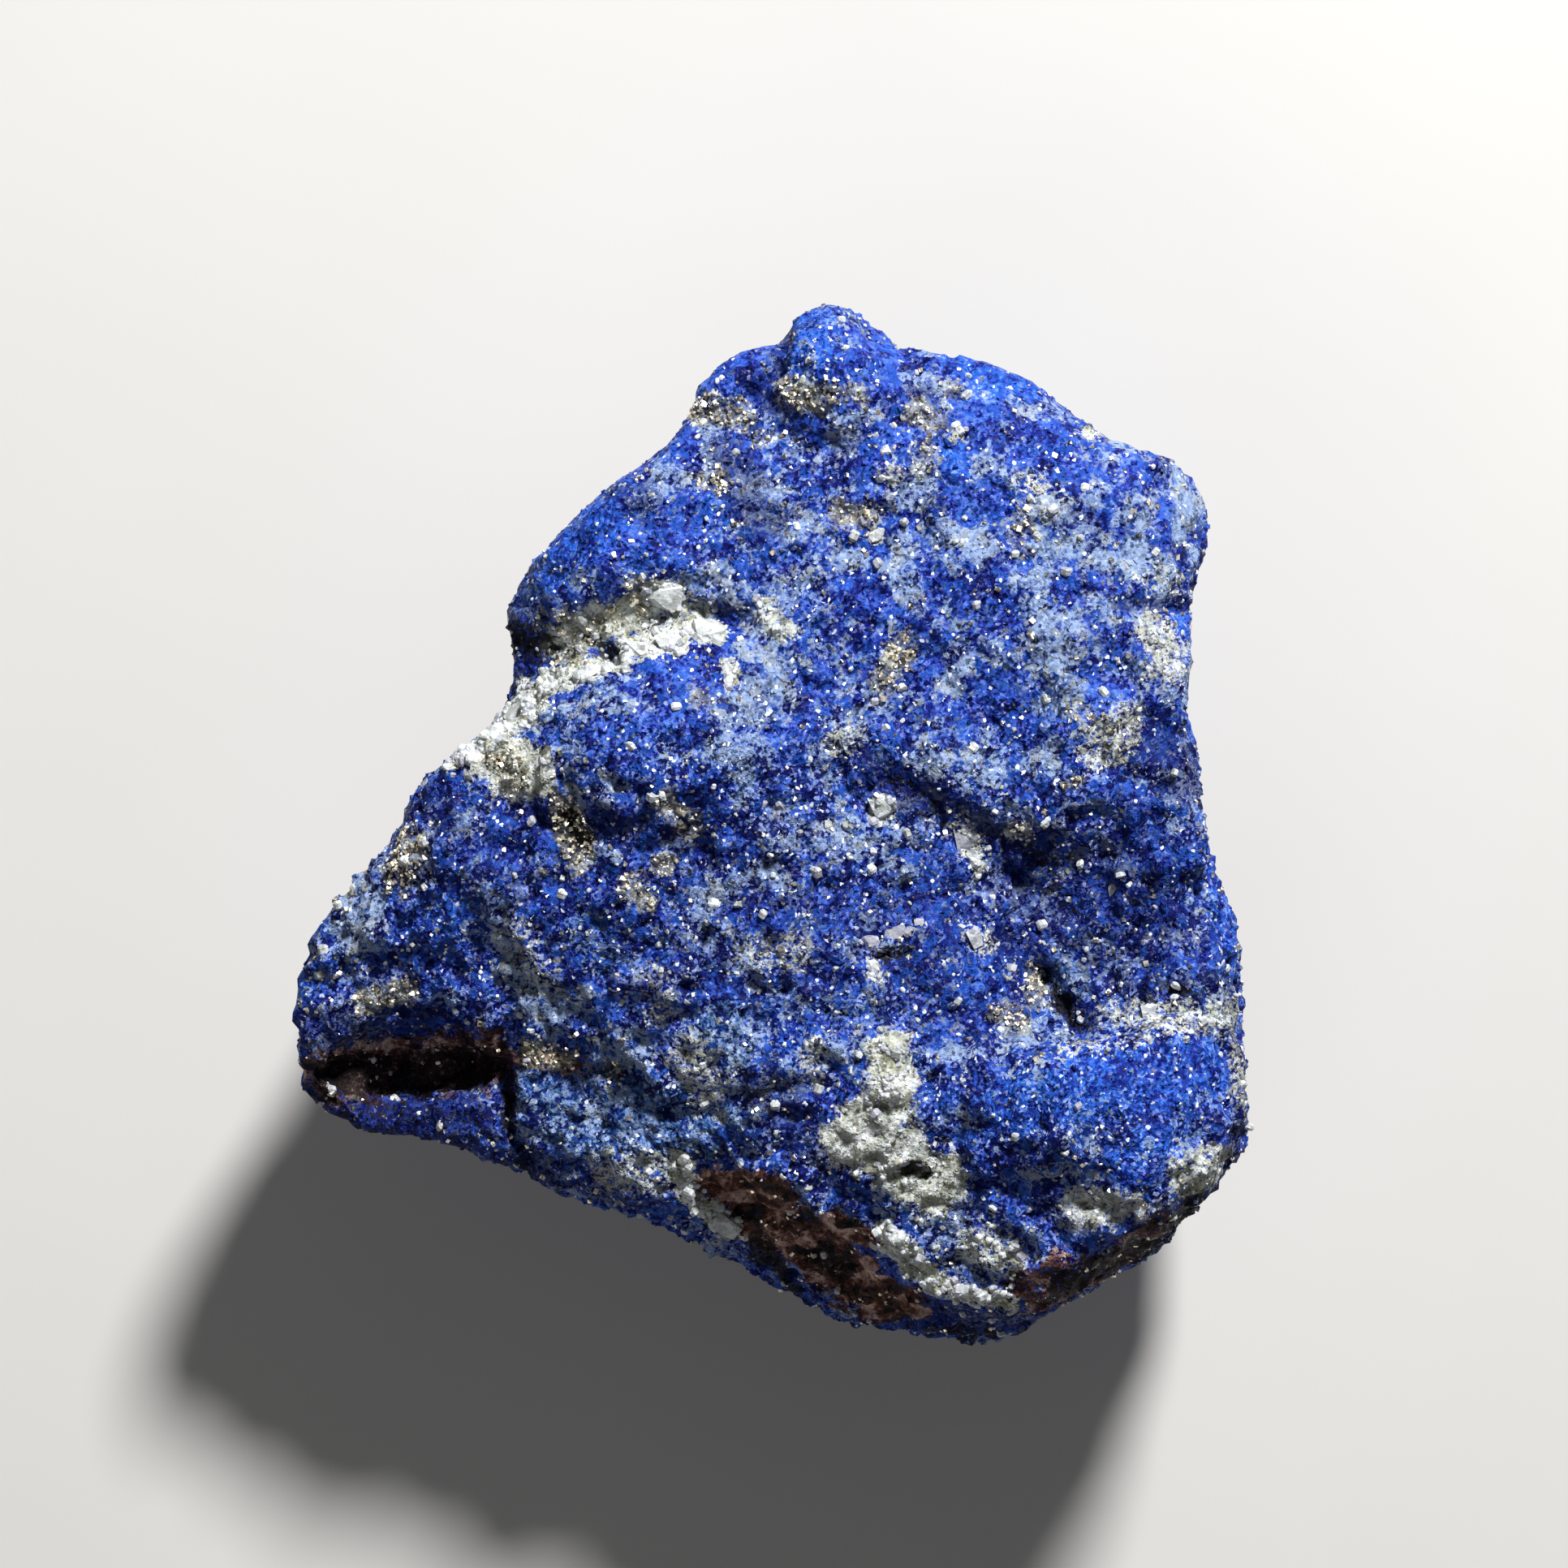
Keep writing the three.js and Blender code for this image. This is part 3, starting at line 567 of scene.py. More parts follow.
class NodeSketch:
    """Adds nodes to a tree, wires them, and hands back their outputs."""

    def __init__(self, tree: bpy.types.NodeTree) -> None:
        """Starts on a tree.

        Args:
            tree: node tree that takes the nodes.
        """
        self.tree = tree

    @classmethod
    def for_material(cls, name: str) -> tuple[bpy.types.Material, NodeSketch, bpy.types.Node]:
        """Makes an empty material.

        Args:
            name: the material's name.

        Returns:
            The material, the sketch of its tree and its surface shader.
        """
        material = bpy.data.materials.new(name)
        material.use_nodes = True
        return material, cls(material.node_tree), material.node_tree.nodes["Principled BSDF"]

    def feed(self, socket: bpy.types.NodeSocket, value: Any) -> None:
        """Links an output to an input, or sets the input's own value.

        Args:
            socket: input to feed.
            value: an output socket, a number or a colour.
        """
        if isinstance(value, bpy.types.NodeSocket):
            self.tree.links.new(value, socket)
        elif isinstance(value, tuple) and socket.type == "RGBA":
            socket.default_value = (*value, 1.0)
        else:
            socket.default_value = value

    def add(self, kind: str, inputs: dict[Any, Any] | None = None, **settings: Any) -> bpy.types.Node:
        """Adds one node.

        Args:
            kind: the node's type name.
            inputs: what feeds its inputs, by name or number.
            settings: the node's own properties.

        Returns:
            The node.
        """
        node = self.tree.nodes.new(kind)
        for name, value in settings.items():
            setattr(node, name, value)
        for key, value in (inputs or {}).items():
            self.feed(node.inputs[key], value)
        return node

    def place(self) -> bpy.types.NodeSocket:
        """Gives the object coordinates."""
        return self.add("ShaderNodeTexCoord").outputs["Object"]

    def mask(self, name: Mineral | Mark) -> bpy.types.NodeSocket:
        """Reads a mesh attribute as a number."""
        return self.add("ShaderNodeAttribute", attribute_name=name.value).outputs["Fac"]

    def clouds(self, clouds: Clouds) -> bpy.types.NodeSocket:
        """Adds cloudy noise on object coordinates.

        Args:
            clouds: the clouds.

        Returns:
            The noise, from 0 to 1.
        """
        inputs = {
            "Vector": self.vector("ADD", self.place(), (clouds.seed,) * 3),
            "Scale": 1.0 / (clouds.size * MM),
            "Detail": clouds.detail,
            "Roughness": clouds.roughness,
        }
        return self.add("ShaderNodeTexNoise", inputs).outputs["Fac"]

    def math(self, operation: str, a: Any, b: Any) -> bpy.types.NodeSocket:
        """Adds one sum on two numbers.

        Args:
            operation: name of the sum.
            a: first number.
            b: second number.

        Returns:
            The result.
        """
        return self.add("ShaderNodeMath", {0: a, 1: b}, operation=operation).outputs[0]

    def plus(self, a: Any, b: Any) -> bpy.types.NodeSocket:
        """Adds two numbers."""
        return self.math("ADD", a, b)

    def times(self, a: Any, b: Any) -> bpy.types.NodeSocket:
        """Multiplies two numbers."""
        return self.math("MULTIPLY", a, b)

    def vector(self, operation: str, a: Any, b: Any = (0.0, 0.0, 0.0)) -> bpy.types.NodeSocket:
        """Adds one sum on vectors.

        Args:
            operation: name of the sum.
            a: first vector.
            b: second vector, or the factor of a scaling.

        Returns:
            The result.
        """
        second = "Scale" if operation == "SCALE" else 1
        return self.add("ShaderNodeVectorMath", {0: a, second: b}, operation=operation).outputs[0]

    def between(self, value: Any, spread: Spread) -> bpy.types.NodeSocket:
        """Spreads a range of values over another, smoothly and without going past its ends.

        Args:
            value: number to spread.
            spread: the range and the two ends.

        Returns:
            The spread value.
        """
        inputs = {
            "Value": value,
            "From Min": spread.low,
            "From Max": spread.high,
            "To Min": spread.first,
            "To Max": spread.last,
        }
        return self.add("ShaderNodeMapRange", inputs, interpolation_type="SMOOTHSTEP").outputs["Result"]

    def blend(self, share: Any, a: Any, b: Any) -> bpy.types.NodeSocket:
        """Mixes two colours.

        Args:
            share: how much of the second colour shows.
            a: first colour.
            b: second colour.

        Returns:
            The mixed colour.
        """
        return self.add("ShaderNodeMix", {0: share, 6: a, 7: b}, data_type="RGBA").outputs[2]

    def ramp(self, value: Any, places: Places, colours: tuple[Colour, ...]) -> bpy.types.NodeSocket:
        """Turns a number into a colour.

        Args:
            value: number to look up.
            places: places on the ramp.
            colours: the colour at each place.

        Returns:
            The colour.
        """
        node = self.add("ShaderNodeValToRGB", {"Fac": value})
        elements = node.color_ramp.elements
        while len(elements) < len(places):
            elements.new(0.5)
        for element, place, colour in zip(elements, places, colours):
            element.position = place
            element.color = (*colour, 1.0)
        return node.outputs["Color"]

    def bump(self, height: Any, normal: Any, depth: float, strength: float = 1.0) -> bpy.types.NodeSocket:
        """Turns heights into a normal.

        Args:
            height: the heights, about 0 to 1.
            normal: the normal that they stand on.
            depth: what a height of 1 stands for, in millimetres.
            strength: how much of the bump shows.

        Returns:
            The normal.
        """
        inputs = {"Height": height, "Normal": normal, "Strength": strength, "Distance": depth * MM}
        return self.add("ShaderNodeBump", inputs).outputs["Normal"]


class GrainEffect:
    """Crystal grains as a shader effect: each cell has its own shade, its own pick and its own tilt."""

    def __init__(self) -> None:
        """Builds the node group once."""
        self.tree = bpy.data.node_groups.new("crystal_grain", "ShaderNodeTree")
        for name, default in (("Size", 0.3), ("Wander", 0.1), ("Tilt", 0.5)):
            socket = self.tree.interface.new_socket(name, in_out="INPUT", socket_type="NodeSocketFloat")
            socket.default_value = default
        for name, kind in (("Shade", "Float"), ("Pick", "Float"), ("Normal", "Vector")):
            self.tree.interface.new_socket(name, in_out="OUTPUT", socket_type="NodeSocket" + kind)
        sketch = NodeSketch(self.tree)
        given = sketch.add("NodeGroupInput").outputs
        made = sketch.add("NodeGroupOutput").inputs
        scale = sketch.math("DIVIDE", 1.0 / MM, given["Size"])
        swirl = sketch.add("ShaderNodeTexNoise", {"Vector": sketch.place(), "Scale": scale, "Detail": 1.0})
        swirl = sketch.vector("SUBTRACT", swirl.outputs["Color"], HALF)
        swirl = sketch.vector("SCALE", swirl, sketch.times(given["Wander"], MM))
        place = sketch.vector("ADD", sketch.place(), swirl)
        cells = sketch.add("ShaderNodeTexVoronoi", {"Vector": place, "Scale": scale}).outputs["Color"]
        split = sketch.add("ShaderNodeSeparateColor", {"Color": cells}).outputs
        sketch.feed(made["Shade"], split["Red"])
        sketch.feed(made["Pick"], split["Green"])
        lean = sketch.vector("SCALE", sketch.vector("SUBTRACT", cells, HALF), given["Tilt"])
        upright = sketch.add("ShaderNodeNewGeometry").outputs["Normal"]
        sketch.feed(made["Normal"], sketch.vector("NORMALIZE", sketch.vector("ADD", upright, lean)))

    def use(self, sketch: NodeSketch, grain: Grain) -> Sockets:
        """Places the effect in a material.

        Args:
            sketch: the material's tree.
            grain: the grains.

        Returns:
            The effect's outputs by name.
        """
        node = sketch.add("ShaderNodeGroup", node_tree=self.tree)
        for name, value in (("Size", grain.size), ("Wander", grain.wander), ("Tilt", grain.tilt)):
            node.inputs[name].default_value = value
        return {name: node.outputs[name] for name in ("Shade", "Pick", "Normal")}


@dataclass(frozen=True)
class LapisFinish:
    """The blue rock with the minerals that are grown into it; sizes in millimetres."""

    # navy: the darkest grain colour, and the colour of the painted navy shade.
    navy: Colour = (0.001, 0.004, 0.070)
    deep: Colour = (0.004, 0.013, 0.195)
    body: Colour = (0.021, 0.056, 0.360)
    light: Colour = (0.056, 0.140, 0.520)
    cobalt: Colour = (0.014, 0.078, 0.430)
    azure: Colour = (0.018, 0.122, 0.630)
    teal: Colour = (0.050, 0.145, 0.260)
    haze: Colour = (0.094, 0.146, 0.305)
    pale: Colour = (0.255, 0.342, 0.498)
    # lilac: painted glints, pale specks for light glancing off tiny facets.
    lilac: Colour = (0.270, 0.345, 0.690)
    grey: Colour = (0.420, 0.435, 0.335)
    olive: Colour = (0.160, 0.162, 0.110)
    white: Colour = (0.670, 0.690, 0.640)
    # glitter: white crystal specks, partly painted glints.
    glitter: Colour = (0.700, 0.730, 0.760)
    rust: Colour = (0.110, 0.040, 0.026)
    # Near black: painted shade where the shade mask lies, and the darkest stop of the foot's rust and of the
    # dull ground round the pyrite.
    shade_black: Colour = (0.006, 0.005, 0.006)
    clay: Colour = (0.480, 0.325, 0.285)

    fine: Grain = Grain(0.17, 0.10, 0.85)
    coarse: Grain = Grain(0.52, 0.50, 0.0)
    speck: Clouds = Clouds(0.30, 3.0, 0.70, 0.3)
    tone: Clouds = Clouds(1.9, 4.0, 0.62)
    patch: Clouds = Clouds(3.0, 5.0, 0.60, 0.5)
    vein: Clouds = Clouds(1.0, 5.0, 0.64, 0.7)
    stain: Clouds = Clouds(1.4, 5.0, 0.70, 0.9)

    speck_tone: Spread = Spread(0.2, 0.8, -0.20, 0.20)
    fine_tone: Spread = Spread(0.0, 1.0, -0.09, 0.09)
    coarse_tone: Spread = Spread(0.0, 1.0, -0.13, 0.13)
    crystal_tone: Spread = Spread(0.0, 1.0, -0.07, 0.07)
    # Below the plateau: stronger grain contrast, partly the rougher break and partly painted micro-shadow,
    # and a darker tone that is painted shade.
    broken_tone: Spread = Spread(0.0, 1.0, 1.0, 1.45)
    lower_painted_shade: Spread = Spread(0.0, 1.0, 0.0, -0.075)
    cobalt_pick: Spread = Spread(0.62, 0.80, 0.0, 0.6)
    blue_places: Places = (0.27, 0.41, 0.55, 0.76)
    vivid_places: Places = (0.26, 0.46, 0.66, 0.86)
    teal_places: Places = (0.24, 0.44, 0.74)
    azure_share: float = 0.8
    teal_share: float = 0.7

    patch_edge: Spread = Spread(0.36, 0.64)
    haze_patch: Spread = Spread(0.0, 1.0, 0.31, 0.62)
    haze_grain: float = 0.66
    haze_broken: Spread = Spread(0.0, 1.0, 0.0, -0.04)
    haze_lift: float = 0.16
    haze_places: Places = (0.50, 0.78)
    haze_grey: Spread = Spread(0.15, 0.30, 0.42, 0.0)
    haze_cover: Spread = Spread(0.47, 0.68, 0.0, 0.85)

    glint_pick: Spread = Spread(0.88, 0.92, 0.0, 0.6)
    glint_broken: Spread = Spread(0.0, 1.0, 0.25, 1.0)
    glint_patch: Spread = Spread(0.0, 1.0, 0.45, 1.0)
    glitter_pick: Spread = Spread(0.979, 0.992, 0.0, 0.85)

    edge: Spread = Spread(0.3, 0.7)
    ragged: Spread = Spread(0.2, 0.8, -0.6, 0.6)
    grey_ragged: Spread = Spread(0.2, 0.8, -0.4, 0.4)
    vein_tone: Spread = Spread(0.0, 1.0, -0.08, 0.08)
    grey_places: Places = (0.26, 0.45, 0.64)
    chalk_places: Places = (0.30, 0.44, 0.62)
    rust_places: Places = (0.40, 0.50, 0.61)
    gangue_places: Places = (0.34, 0.47, 0.60)
    navy_shade_share: float = 0.65
    grey_share: float = 0.84
    gangue_share: float = 0.5
    painted_shade_share: float = 0.93

    specular: float = 0.12
    gloss: Spread = Spread(0.5, 1.0, 0.66, 0.12)
    grain_bump: float = 0.35
    broken_bump: Spread = Spread(0.0, 1.0, 1.0, 1.8)
    bump_depth: float = 0.12
    bump_strength: float = 0.8

    def material(self, grain: GrainEffect) -> bpy.types.Material:
        """Builds the material.

        Args:
            grain: the shared crystal grain effect.

        Returns:
            The material.
        """
        material, sketch, shader = NodeSketch.for_material("lapis")
        fine = grain.use(sketch, self.fine)
        coarse = grain.use(sketch, self.coarse)
        speck = sketch.clouds(self.speck)
        grainy = self._grainy(sketch, fine, coarse, speck)
        patch = sketch.between(sketch.clouds(self.patch), self.patch_edge)
        colour = self._lazurite(sketch, coarse, speck, grainy)
        colour = self._hazy(sketch, coarse, patch, grainy, colour)
        colour = self._sparkling(sketch, fine, patch, colour)
        colour = self._minerals(sketch, coarse, speck, colour)
        sketch.feed(shader.inputs["Base Color"], colour)
        sketch.feed(shader.inputs["Roughness"], sketch.between(fine["Pick"], self.gloss))
        shader.inputs["Specular IOR Level"].default_value = self.specular
        height = sketch.plus(speck, sketch.times(fine["Shade"], self.grain_bump))
        height = sketch.times(height, sketch.between(sketch.mask(Mark.BROKEN), self.broken_bump))
        normal = sketch.bump(height, fine["Normal"], self.bump_depth, self.bump_strength)
        sketch.feed(shader.inputs["Normal"], normal)
        return material

    def _grainy(
        self, sketch: NodeSketch, fine: Sockets, coarse: Sockets, speck: bpy.types.NodeSocket
    ) -> bpy.types.NodeSocket:
        """Makes the grains lighter and darker, more so where the break is rough; there the extra contrast is
        partly painted micro-shadow.

        Args:
            sketch: the material's tree.
            fine: the small grains.
            coarse: the large grains.
            speck: noise of about the grain size.

        Returns:
            The change of tone.
        """
        grainy = sketch.between(speck, self.speck_tone)
        grainy = sketch.plus(grainy, sketch.between(fine["Shade"], self.fine_tone))
        grainy = sketch.plus(grainy, sketch.between(coarse["Shade"], self.coarse_tone))
        grainy = sketch.plus(grainy, sketch.between(sketch.mask(Mark.SHADE), self.crystal_tone))
        return sketch.times(grainy, sketch.between(sketch.mask(Mark.BROKEN), self.broken_tone))

    def _lazurite(
        self, sketch: NodeSketch, coarse: Sockets, speck: bpy.types.NodeSocket, grainy: bpy.types.NodeSocket
    ) -> bpy.types.NodeSocket:
        """Builds the mottled blue, with its vivid and its greenish patches, darker below the plateau as
        painted shade.

        Args:
            sketch: the material's tree.
            coarse: the large grains.
            speck: noise of about the grain size.
            grainy: the grains' change of tone.

        Returns:
            The blue.
        """
        tone = sketch.plus(sketch.clouds(self.tone), grainy)
        # Painted shade: the tone is darker below the plateau.
        tone = sketch.plus(tone, sketch.between(sketch.mask(Mark.BROKEN), self.lower_painted_shade))
        blue = sketch.ramp(tone, self.blue_places, (self.navy, self.deep, self.body, self.light))
        blue = sketch.blend(sketch.between(coarse["Pick"], self.cobalt_pick), blue, self.cobalt)
        vivid = sketch.ramp(tone, self.vivid_places, (self.deep, self.cobalt, self.azure, self.pale))
        share = sketch.times(self._edge(sketch, Mineral.AZURE, speck), self.azure_share)
        blue = sketch.blend(share, blue, vivid)
        green = sketch.ramp(tone, self.teal_places, (self.navy, self.teal, self.pale))
        share = sketch.times(self._edge(sketch, Mineral.TEAL, speck), self.teal_share)
        return sketch.blend(share, blue, green)

    def _hazy(
        self,
        sketch: NodeSketch,
        coarse: Sockets,
        patch: bpy.types.NodeSocket,
        grainy: bpy.types.NodeSocket,
        blue: bpy.types.NodeSocket,
    ) -> bpy.types.NodeSocket:
        """Lays the grey-blue haze over the blue in patches.

        Args:
            sketch: the material's tree.
            coarse: the large grains.
            patch: where the haze lies.
            grainy: the grains' change of tone.
            blue: the blue under it.

        Returns:
            The hazy blue.
        """
        cover = sketch.plus(sketch.between(patch, self.haze_patch), sketch.times(grainy, self.haze_grain))
        cover = sketch.plus(cover, sketch.between(sketch.mask(Mark.BROKEN), self.haze_broken))
        cover = sketch.plus(cover, sketch.times(sketch.mask(Mineral.PALE), self.haze_lift))
        cover = sketch.math("SUBTRACT", cover, sketch.times(sketch.mask(Mineral.AZURE), self.haze_lift))
        veil = sketch.ramp(cover, self.haze_places, (self.haze, self.pale))
        veil = sketch.blend(sketch.between(coarse["Pick"], self.haze_grey), veil, self.grey)
        return sketch.blend(sketch.between(cover, self.haze_cover), blue, veil)

    def _sparkling(
        self, sketch: NodeSketch, fine: Sockets, patch: bpy.types.NodeSocket, blue: bpy.types.NodeSocket
    ) -> bpy.types.NodeSocket:
        """Paints single small grains pale lilac or white: painted glints for light glancing off tiny facets,
        and white crystal specks.

        Args:
            sketch: the material's tree.
            fine: the small grains.
            patch: where the haze lies.
            blue: the blue round them.

        Returns:
            The blue with its bright grains.
        """
        glints = sketch.between(fine["Pick"], self.glint_pick)
        glints = sketch.times(glints, sketch.between(sketch.mask(Mark.BROKEN), self.glint_broken))
        glints = sketch.times(glints, sketch.between(patch, self.glint_patch))
        blue = sketch.blend(glints, blue, self.lilac)
        return sketch.blend(sketch.between(fine["Pick"], self.glitter_pick), blue, self.glitter)

    def _minerals(
        self, sketch: NodeSketch, coarse: Sockets, speck: bpy.types.NodeSocket, blue: bpy.types.NodeSocket
    ) -> bpy.types.NodeSocket:
        """Lays the other minerals over the blue, and the painted shade: navy and near-black in hollows,
        cracks and under ledges.

        Args:
            sketch: the material's tree.
            coarse: the large grains.
            speck: noise of about the grain size.
            blue: the blue under them.

        Returns:
            The finished colour.
        """
        # Painted shade: navy laid over the blue where ledges, hollows and the shaded rims fall dark.
        dark = sketch.times(self._edge(sketch, Mineral.NAVY_AND_SHADE, speck), self.navy_shade_share)
        colour = sketch.blend(dark, blue, self.navy)
        spread = sketch.plus(sketch.clouds(self.vein), sketch.between(coarse["Shade"], self.vein_tone))
        greys = sketch.ramp(spread, self.grey_places, (self.olive, self.grey, self.white))
        cover = sketch.times(self._edge(sketch, Mineral.GREY, speck), self.grey_share)
        colour = sketch.blend(cover, colour, greys)
        chalk = sketch.ramp(spread, self.chalk_places, (self.olive, self.grey, self.white))
        colour = sketch.blend(self._edge(sketch, Mineral.CALCITE, speck), colour, chalk)
        browns = sketch.ramp(sketch.clouds(self.stain), self.rust_places, (self.shade_black, self.rust, self.clay))
        colour = sketch.blend(self._edge(sketch, Mineral.RUST, speck), colour, browns)
        gangue = sketch.ramp(spread, self.gangue_places, (self.shade_black, self.olive, self.grey))
        dull = sketch.times(self._edge(sketch, Mineral.PYRITE, speck), self.gangue_share)
        colour = sketch.blend(dull, colour, gangue)
        # Painted shade: near-black in holes, cracks and under ledges.
        shade_cover = sketch.times(self._edge(sketch, Mineral.PAINTED_SHADE, speck), self.painted_shade_share)
        return sketch.blend(shade_cover, colour, self.shade_black)

    def _edge(
        self, sketch: NodeSketch, mineral: Mineral, speck: bpy.types.NodeSocket
    ) -> bpy.types.NodeSocket:
        """Breaks up a mineral's mask along its edge, grain by grain.

        Args:
            sketch: the material's tree.
            mineral: whose mask.
            speck: noise of about the grain size.

        Returns:
            The broken mask.
        """
        ragged = self.grey_ragged if mineral is Mineral.GREY else self.ragged
        frayed = sketch.plus(sketch.mask(mineral), sketch.between(speck, ragged))
        return sketch.between(frayed, self.edge)


@dataclass(frozen=True)
class CrystalFinish:
    """White and grey calcite crystals; sizes in millimetres."""

    white: Colour = (0.56, 0.59, 0.60)
    dusty: Colour = (0.28, 0.30, 0.28)
    lilac: Colour = (0.300, 0.305, 0.365)
    cell: Grain = Grain(0.35, 0.25, 0.35)
    cell_tone: Spread = Spread(0.0, 1.0, -0.1, 0.1)
    cloud: Clouds = Clouds(0.8, 4.0, 0.65)
    chalk_places: Places = (0.34, 0.56)
    gloss: Spread = Spread(0.0, 1.0, 0.25, 0.55)
    grit: Clouds = Clouds(0.15, 2.0, 0.6)
    bump_depth: float = 0.05

    def material(self, grain: GrainEffect) -> bpy.types.Material:
        """Builds the material.

        Args:
            grain: the shared crystal grain effect.

        Returns:
            The material.
        """
        material, sketch, shader = NodeSketch.for_material("calcite")
        cells = grain.use(sketch, self.cell)
        cloudy = sketch.plus(sketch.clouds(self.cloud), sketch.between(cells["Shade"], self.cell_tone))
        chalk = sketch.ramp(cloudy, self.chalk_places, (self.dusty, self.white))
        sketch.feed(shader.inputs["Base Color"], sketch.blend(sketch.mask(Mark.DUST), chalk, self.lilac))
        sketch.feed(shader.inputs["Roughness"], sketch.between(cells["Pick"], self.gloss))
        normal = sketch.bump(sketch.clouds(self.grit), cells["Normal"], self.bump_depth)
        sketch.feed(shader.inputs["Normal"], normal)
        return material


@dataclass(frozen=True)
class PyriteFinish:
    """Brassy pyrite with dark tarnish; sizes in millimetres."""

    brass: Colour = (0.92, 0.86, 0.71)
    tarnish: Colour = (0.30, 0.26, 0.20)
    cell: Grain = Grain(0.2, 0.05, 0.4)
    dirt: Spread = Spread(0.6, 0.9)
    gloss: Spread = Spread(0.0, 1.0, 0.32, 0.58)

    def material(self, grain: GrainEffect) -> bpy.types.Material:
        """Builds the material.

        Args:
            grain: the shared crystal grain effect.

        Returns:
            The material.
        """
        material, sketch, shader = NodeSketch.for_material("pyrite")
        cells = grain.use(sketch, self.cell)
        dirt = sketch.between(cells["Shade"], self.dirt)
        sketch.feed(shader.inputs["Base Color"], sketch.blend(dirt, self.brass, self.tarnish))
        sketch.feed(shader.inputs["Roughness"], sketch.between(cells["Pick"], self.gloss))
        shader.inputs["Metallic"].default_value = 1.0
        sketch.feed(shader.inputs["Normal"], cells["Normal"])
        return material


@dataclass(frozen=True)
class FloorFinish:
    """Pale matt board."""

    light: Colour = (0.56, 0.55, 0.53)
    shade: Colour = (0.52, 0.51, 0.49)
    cloud: Clouds = Clouds(30.0, 3.0, 0.5)
    roughness: float = 0.8

    def material(self) -> bpy.types.Material:
        """Builds the material.

        Returns:
            The material.
        """
        material, sketch, shader = NodeSketch.for_material("floor")
        mottle = sketch.blend(sketch.clouds(self.cloud), self.light, self.shade)
        sketch.feed(shader.inputs["Base Color"], mottle)
        shader.inputs["Roughness"].default_value = self.roughness
        return material


@dataclass
class RockBody:
    """The lump: the CAD solid's skin made finer, roughened and cut by its small hollows; in millimetres."""

    node: str = "stone"
    merge: float = 0.001
    cuts: int = 3
    smoothing: int = 6
    smooth_share: float = 0.5
    foot: Span = (0.15, 1.2)
    chip_size: float = 2.2
    chip_tilt: float = 0.30
    flake_size: float = 0.95
    flake_tilt: float = 0.48
    facet_spin: float = 31.0
    ridge_size: float = 1.7
    ridge_height: float = 0.26
    ridge_crest: float = 0.5
    ridge_fall: float = 2.0
    grit_size: float = 0.55
    grit_height: float = 0.13
    splinter: float = 0.4
    upper: Span = (-0.1, 0.3)
    flank_share: float = 0.6
    plain_shade: float = 0.5

    def build(self, minerals: MineralMap, material: bpy.types.Material) -> bpy.types.Object:
        """Builds the rock.

        Args:
            minerals: where each mineral is.
            material: the blue rock's finish.

        Returns:
            The rock.
        """
        mesh = self._fine_skin()
        normals = np.empty(len(mesh.vertices) * 3, np.float32)
        mesh.vertex_normals.foreach_get("vector", normals)
        normals = normals.reshape(-1, 3).astype(float)
        places = vertex_array(mesh) / MM
        raised = places + normals * self._rise(places, normals, minerals.broken(places))[:, None]
        raised[:, 2] = np.maximum(raised[:, 2], 0.0)
        mesh.vertices.foreach_set("co", (raised * MM).astype(np.float32).ravel())
        mesh.update()
        minerals.settle(raised)
        minerals.dress(mesh, raised)
        store(mesh, Mark.SHADE, np.full(len(raised), self.plain_shade))
        mesh.materials.append(material)
        return piece("lapis_rock", mesh)

    def _fine_skin(self) -> bpy.types.Mesh:
        """Copies the CAD solid's skin, splits its triangles and rounds them.

        Returns:
            The fine mesh.
        """
        skin = bmesh.new()
        skin.from_mesh(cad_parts[self.node].data)
        bmesh.ops.remove_doubles(skin, verts=skin.verts, dist=self.merge * MM)
        bmesh.ops.subdivide_edges(skin, edges=skin.edges, cuts=self.cuts, use_grid_fill=True)
        free = [v for v in skin.verts if v.co.z > self.foot[0] * MM]
        every_way = {"use_axis_x": True, "use_axis_y": True, "use_axis_z": True}
        for _ in range(self.smoothing):
            bmesh.ops.smooth_vert(skin, verts=free, factor=self.smooth_share, **every_way)
        bmesh.ops.triangulate(skin, faces=skin.faces)
        mesh = bpy.data.meshes.new("lapis_rock")
        skin.to_mesh(mesh)
        skin.free()
        mesh.polygons.foreach_set("use_smooth", np.ones(len(mesh.polygons), bool))
        return mesh

    def _rise(self, places: np.ndarray, normals: np.ndarray, broken: np.ndarray) -> np.ndarray:
        """Works out how far each vertex stands out of the smooth skin.

        Args:
            places: the vertices in millimetres.
            normals: the way each one faces.
            broken: how rough the break is at each vertex.

        Returns:
            The rise in millimetres, below zero in hollows.
        """
        rise = self._facets(places, self.chip_size, self.chip_tilt)
        rise += self._facets(places, self.flake_size, self.flake_tilt)
        valley = np.abs(noise_at(places, self.ridge_size, Swell.RIDGE)) * self.ridge_fall
        rise += self.ridge_height * (self.ridge_crest - valley)
        rise += self.grit_height * noise_at(places, self.grit_size, Swell.GRIT)
        upper = smoothstep(*self.upper, normals[:, 2])
        rise *= (1.0 + self.splinter * broken) * (self.flank_share + (1.0 - self.flank_share) * upper)
        for dent in DENTS:
            away = path_distance(places, dent.path)[0] / dent.reach
            rise -= upper * dent.depth * (1.0 - smoothstep(0.0, 1.0, away))
        return rise * smoothstep(*self.foot, places[:, 2])

    def _facets(self, places: np.ndarray, size: float, tilt: float) -> np.ndarray:
        """Works out flat tilted facets, one for each cell of a scatter of points.

        Args:
            places: the vertices in millimetres.
            size: size of a facet in millimetres.
            tilt: how far the facets lean.

        Returns:
            The facets' rise in millimetres.
        """
        rise = np.empty(len(places))
        for i, place in enumerate(places):
            spot = Vector(place) / size
            middle = noise.voronoi(spot)[1][0]
            lean = noise.cell_vector(middle * self.facet_spin) - Vector(HALF)
            rise[i] = tilt * size * lean.dot(spot - middle)
        return rise


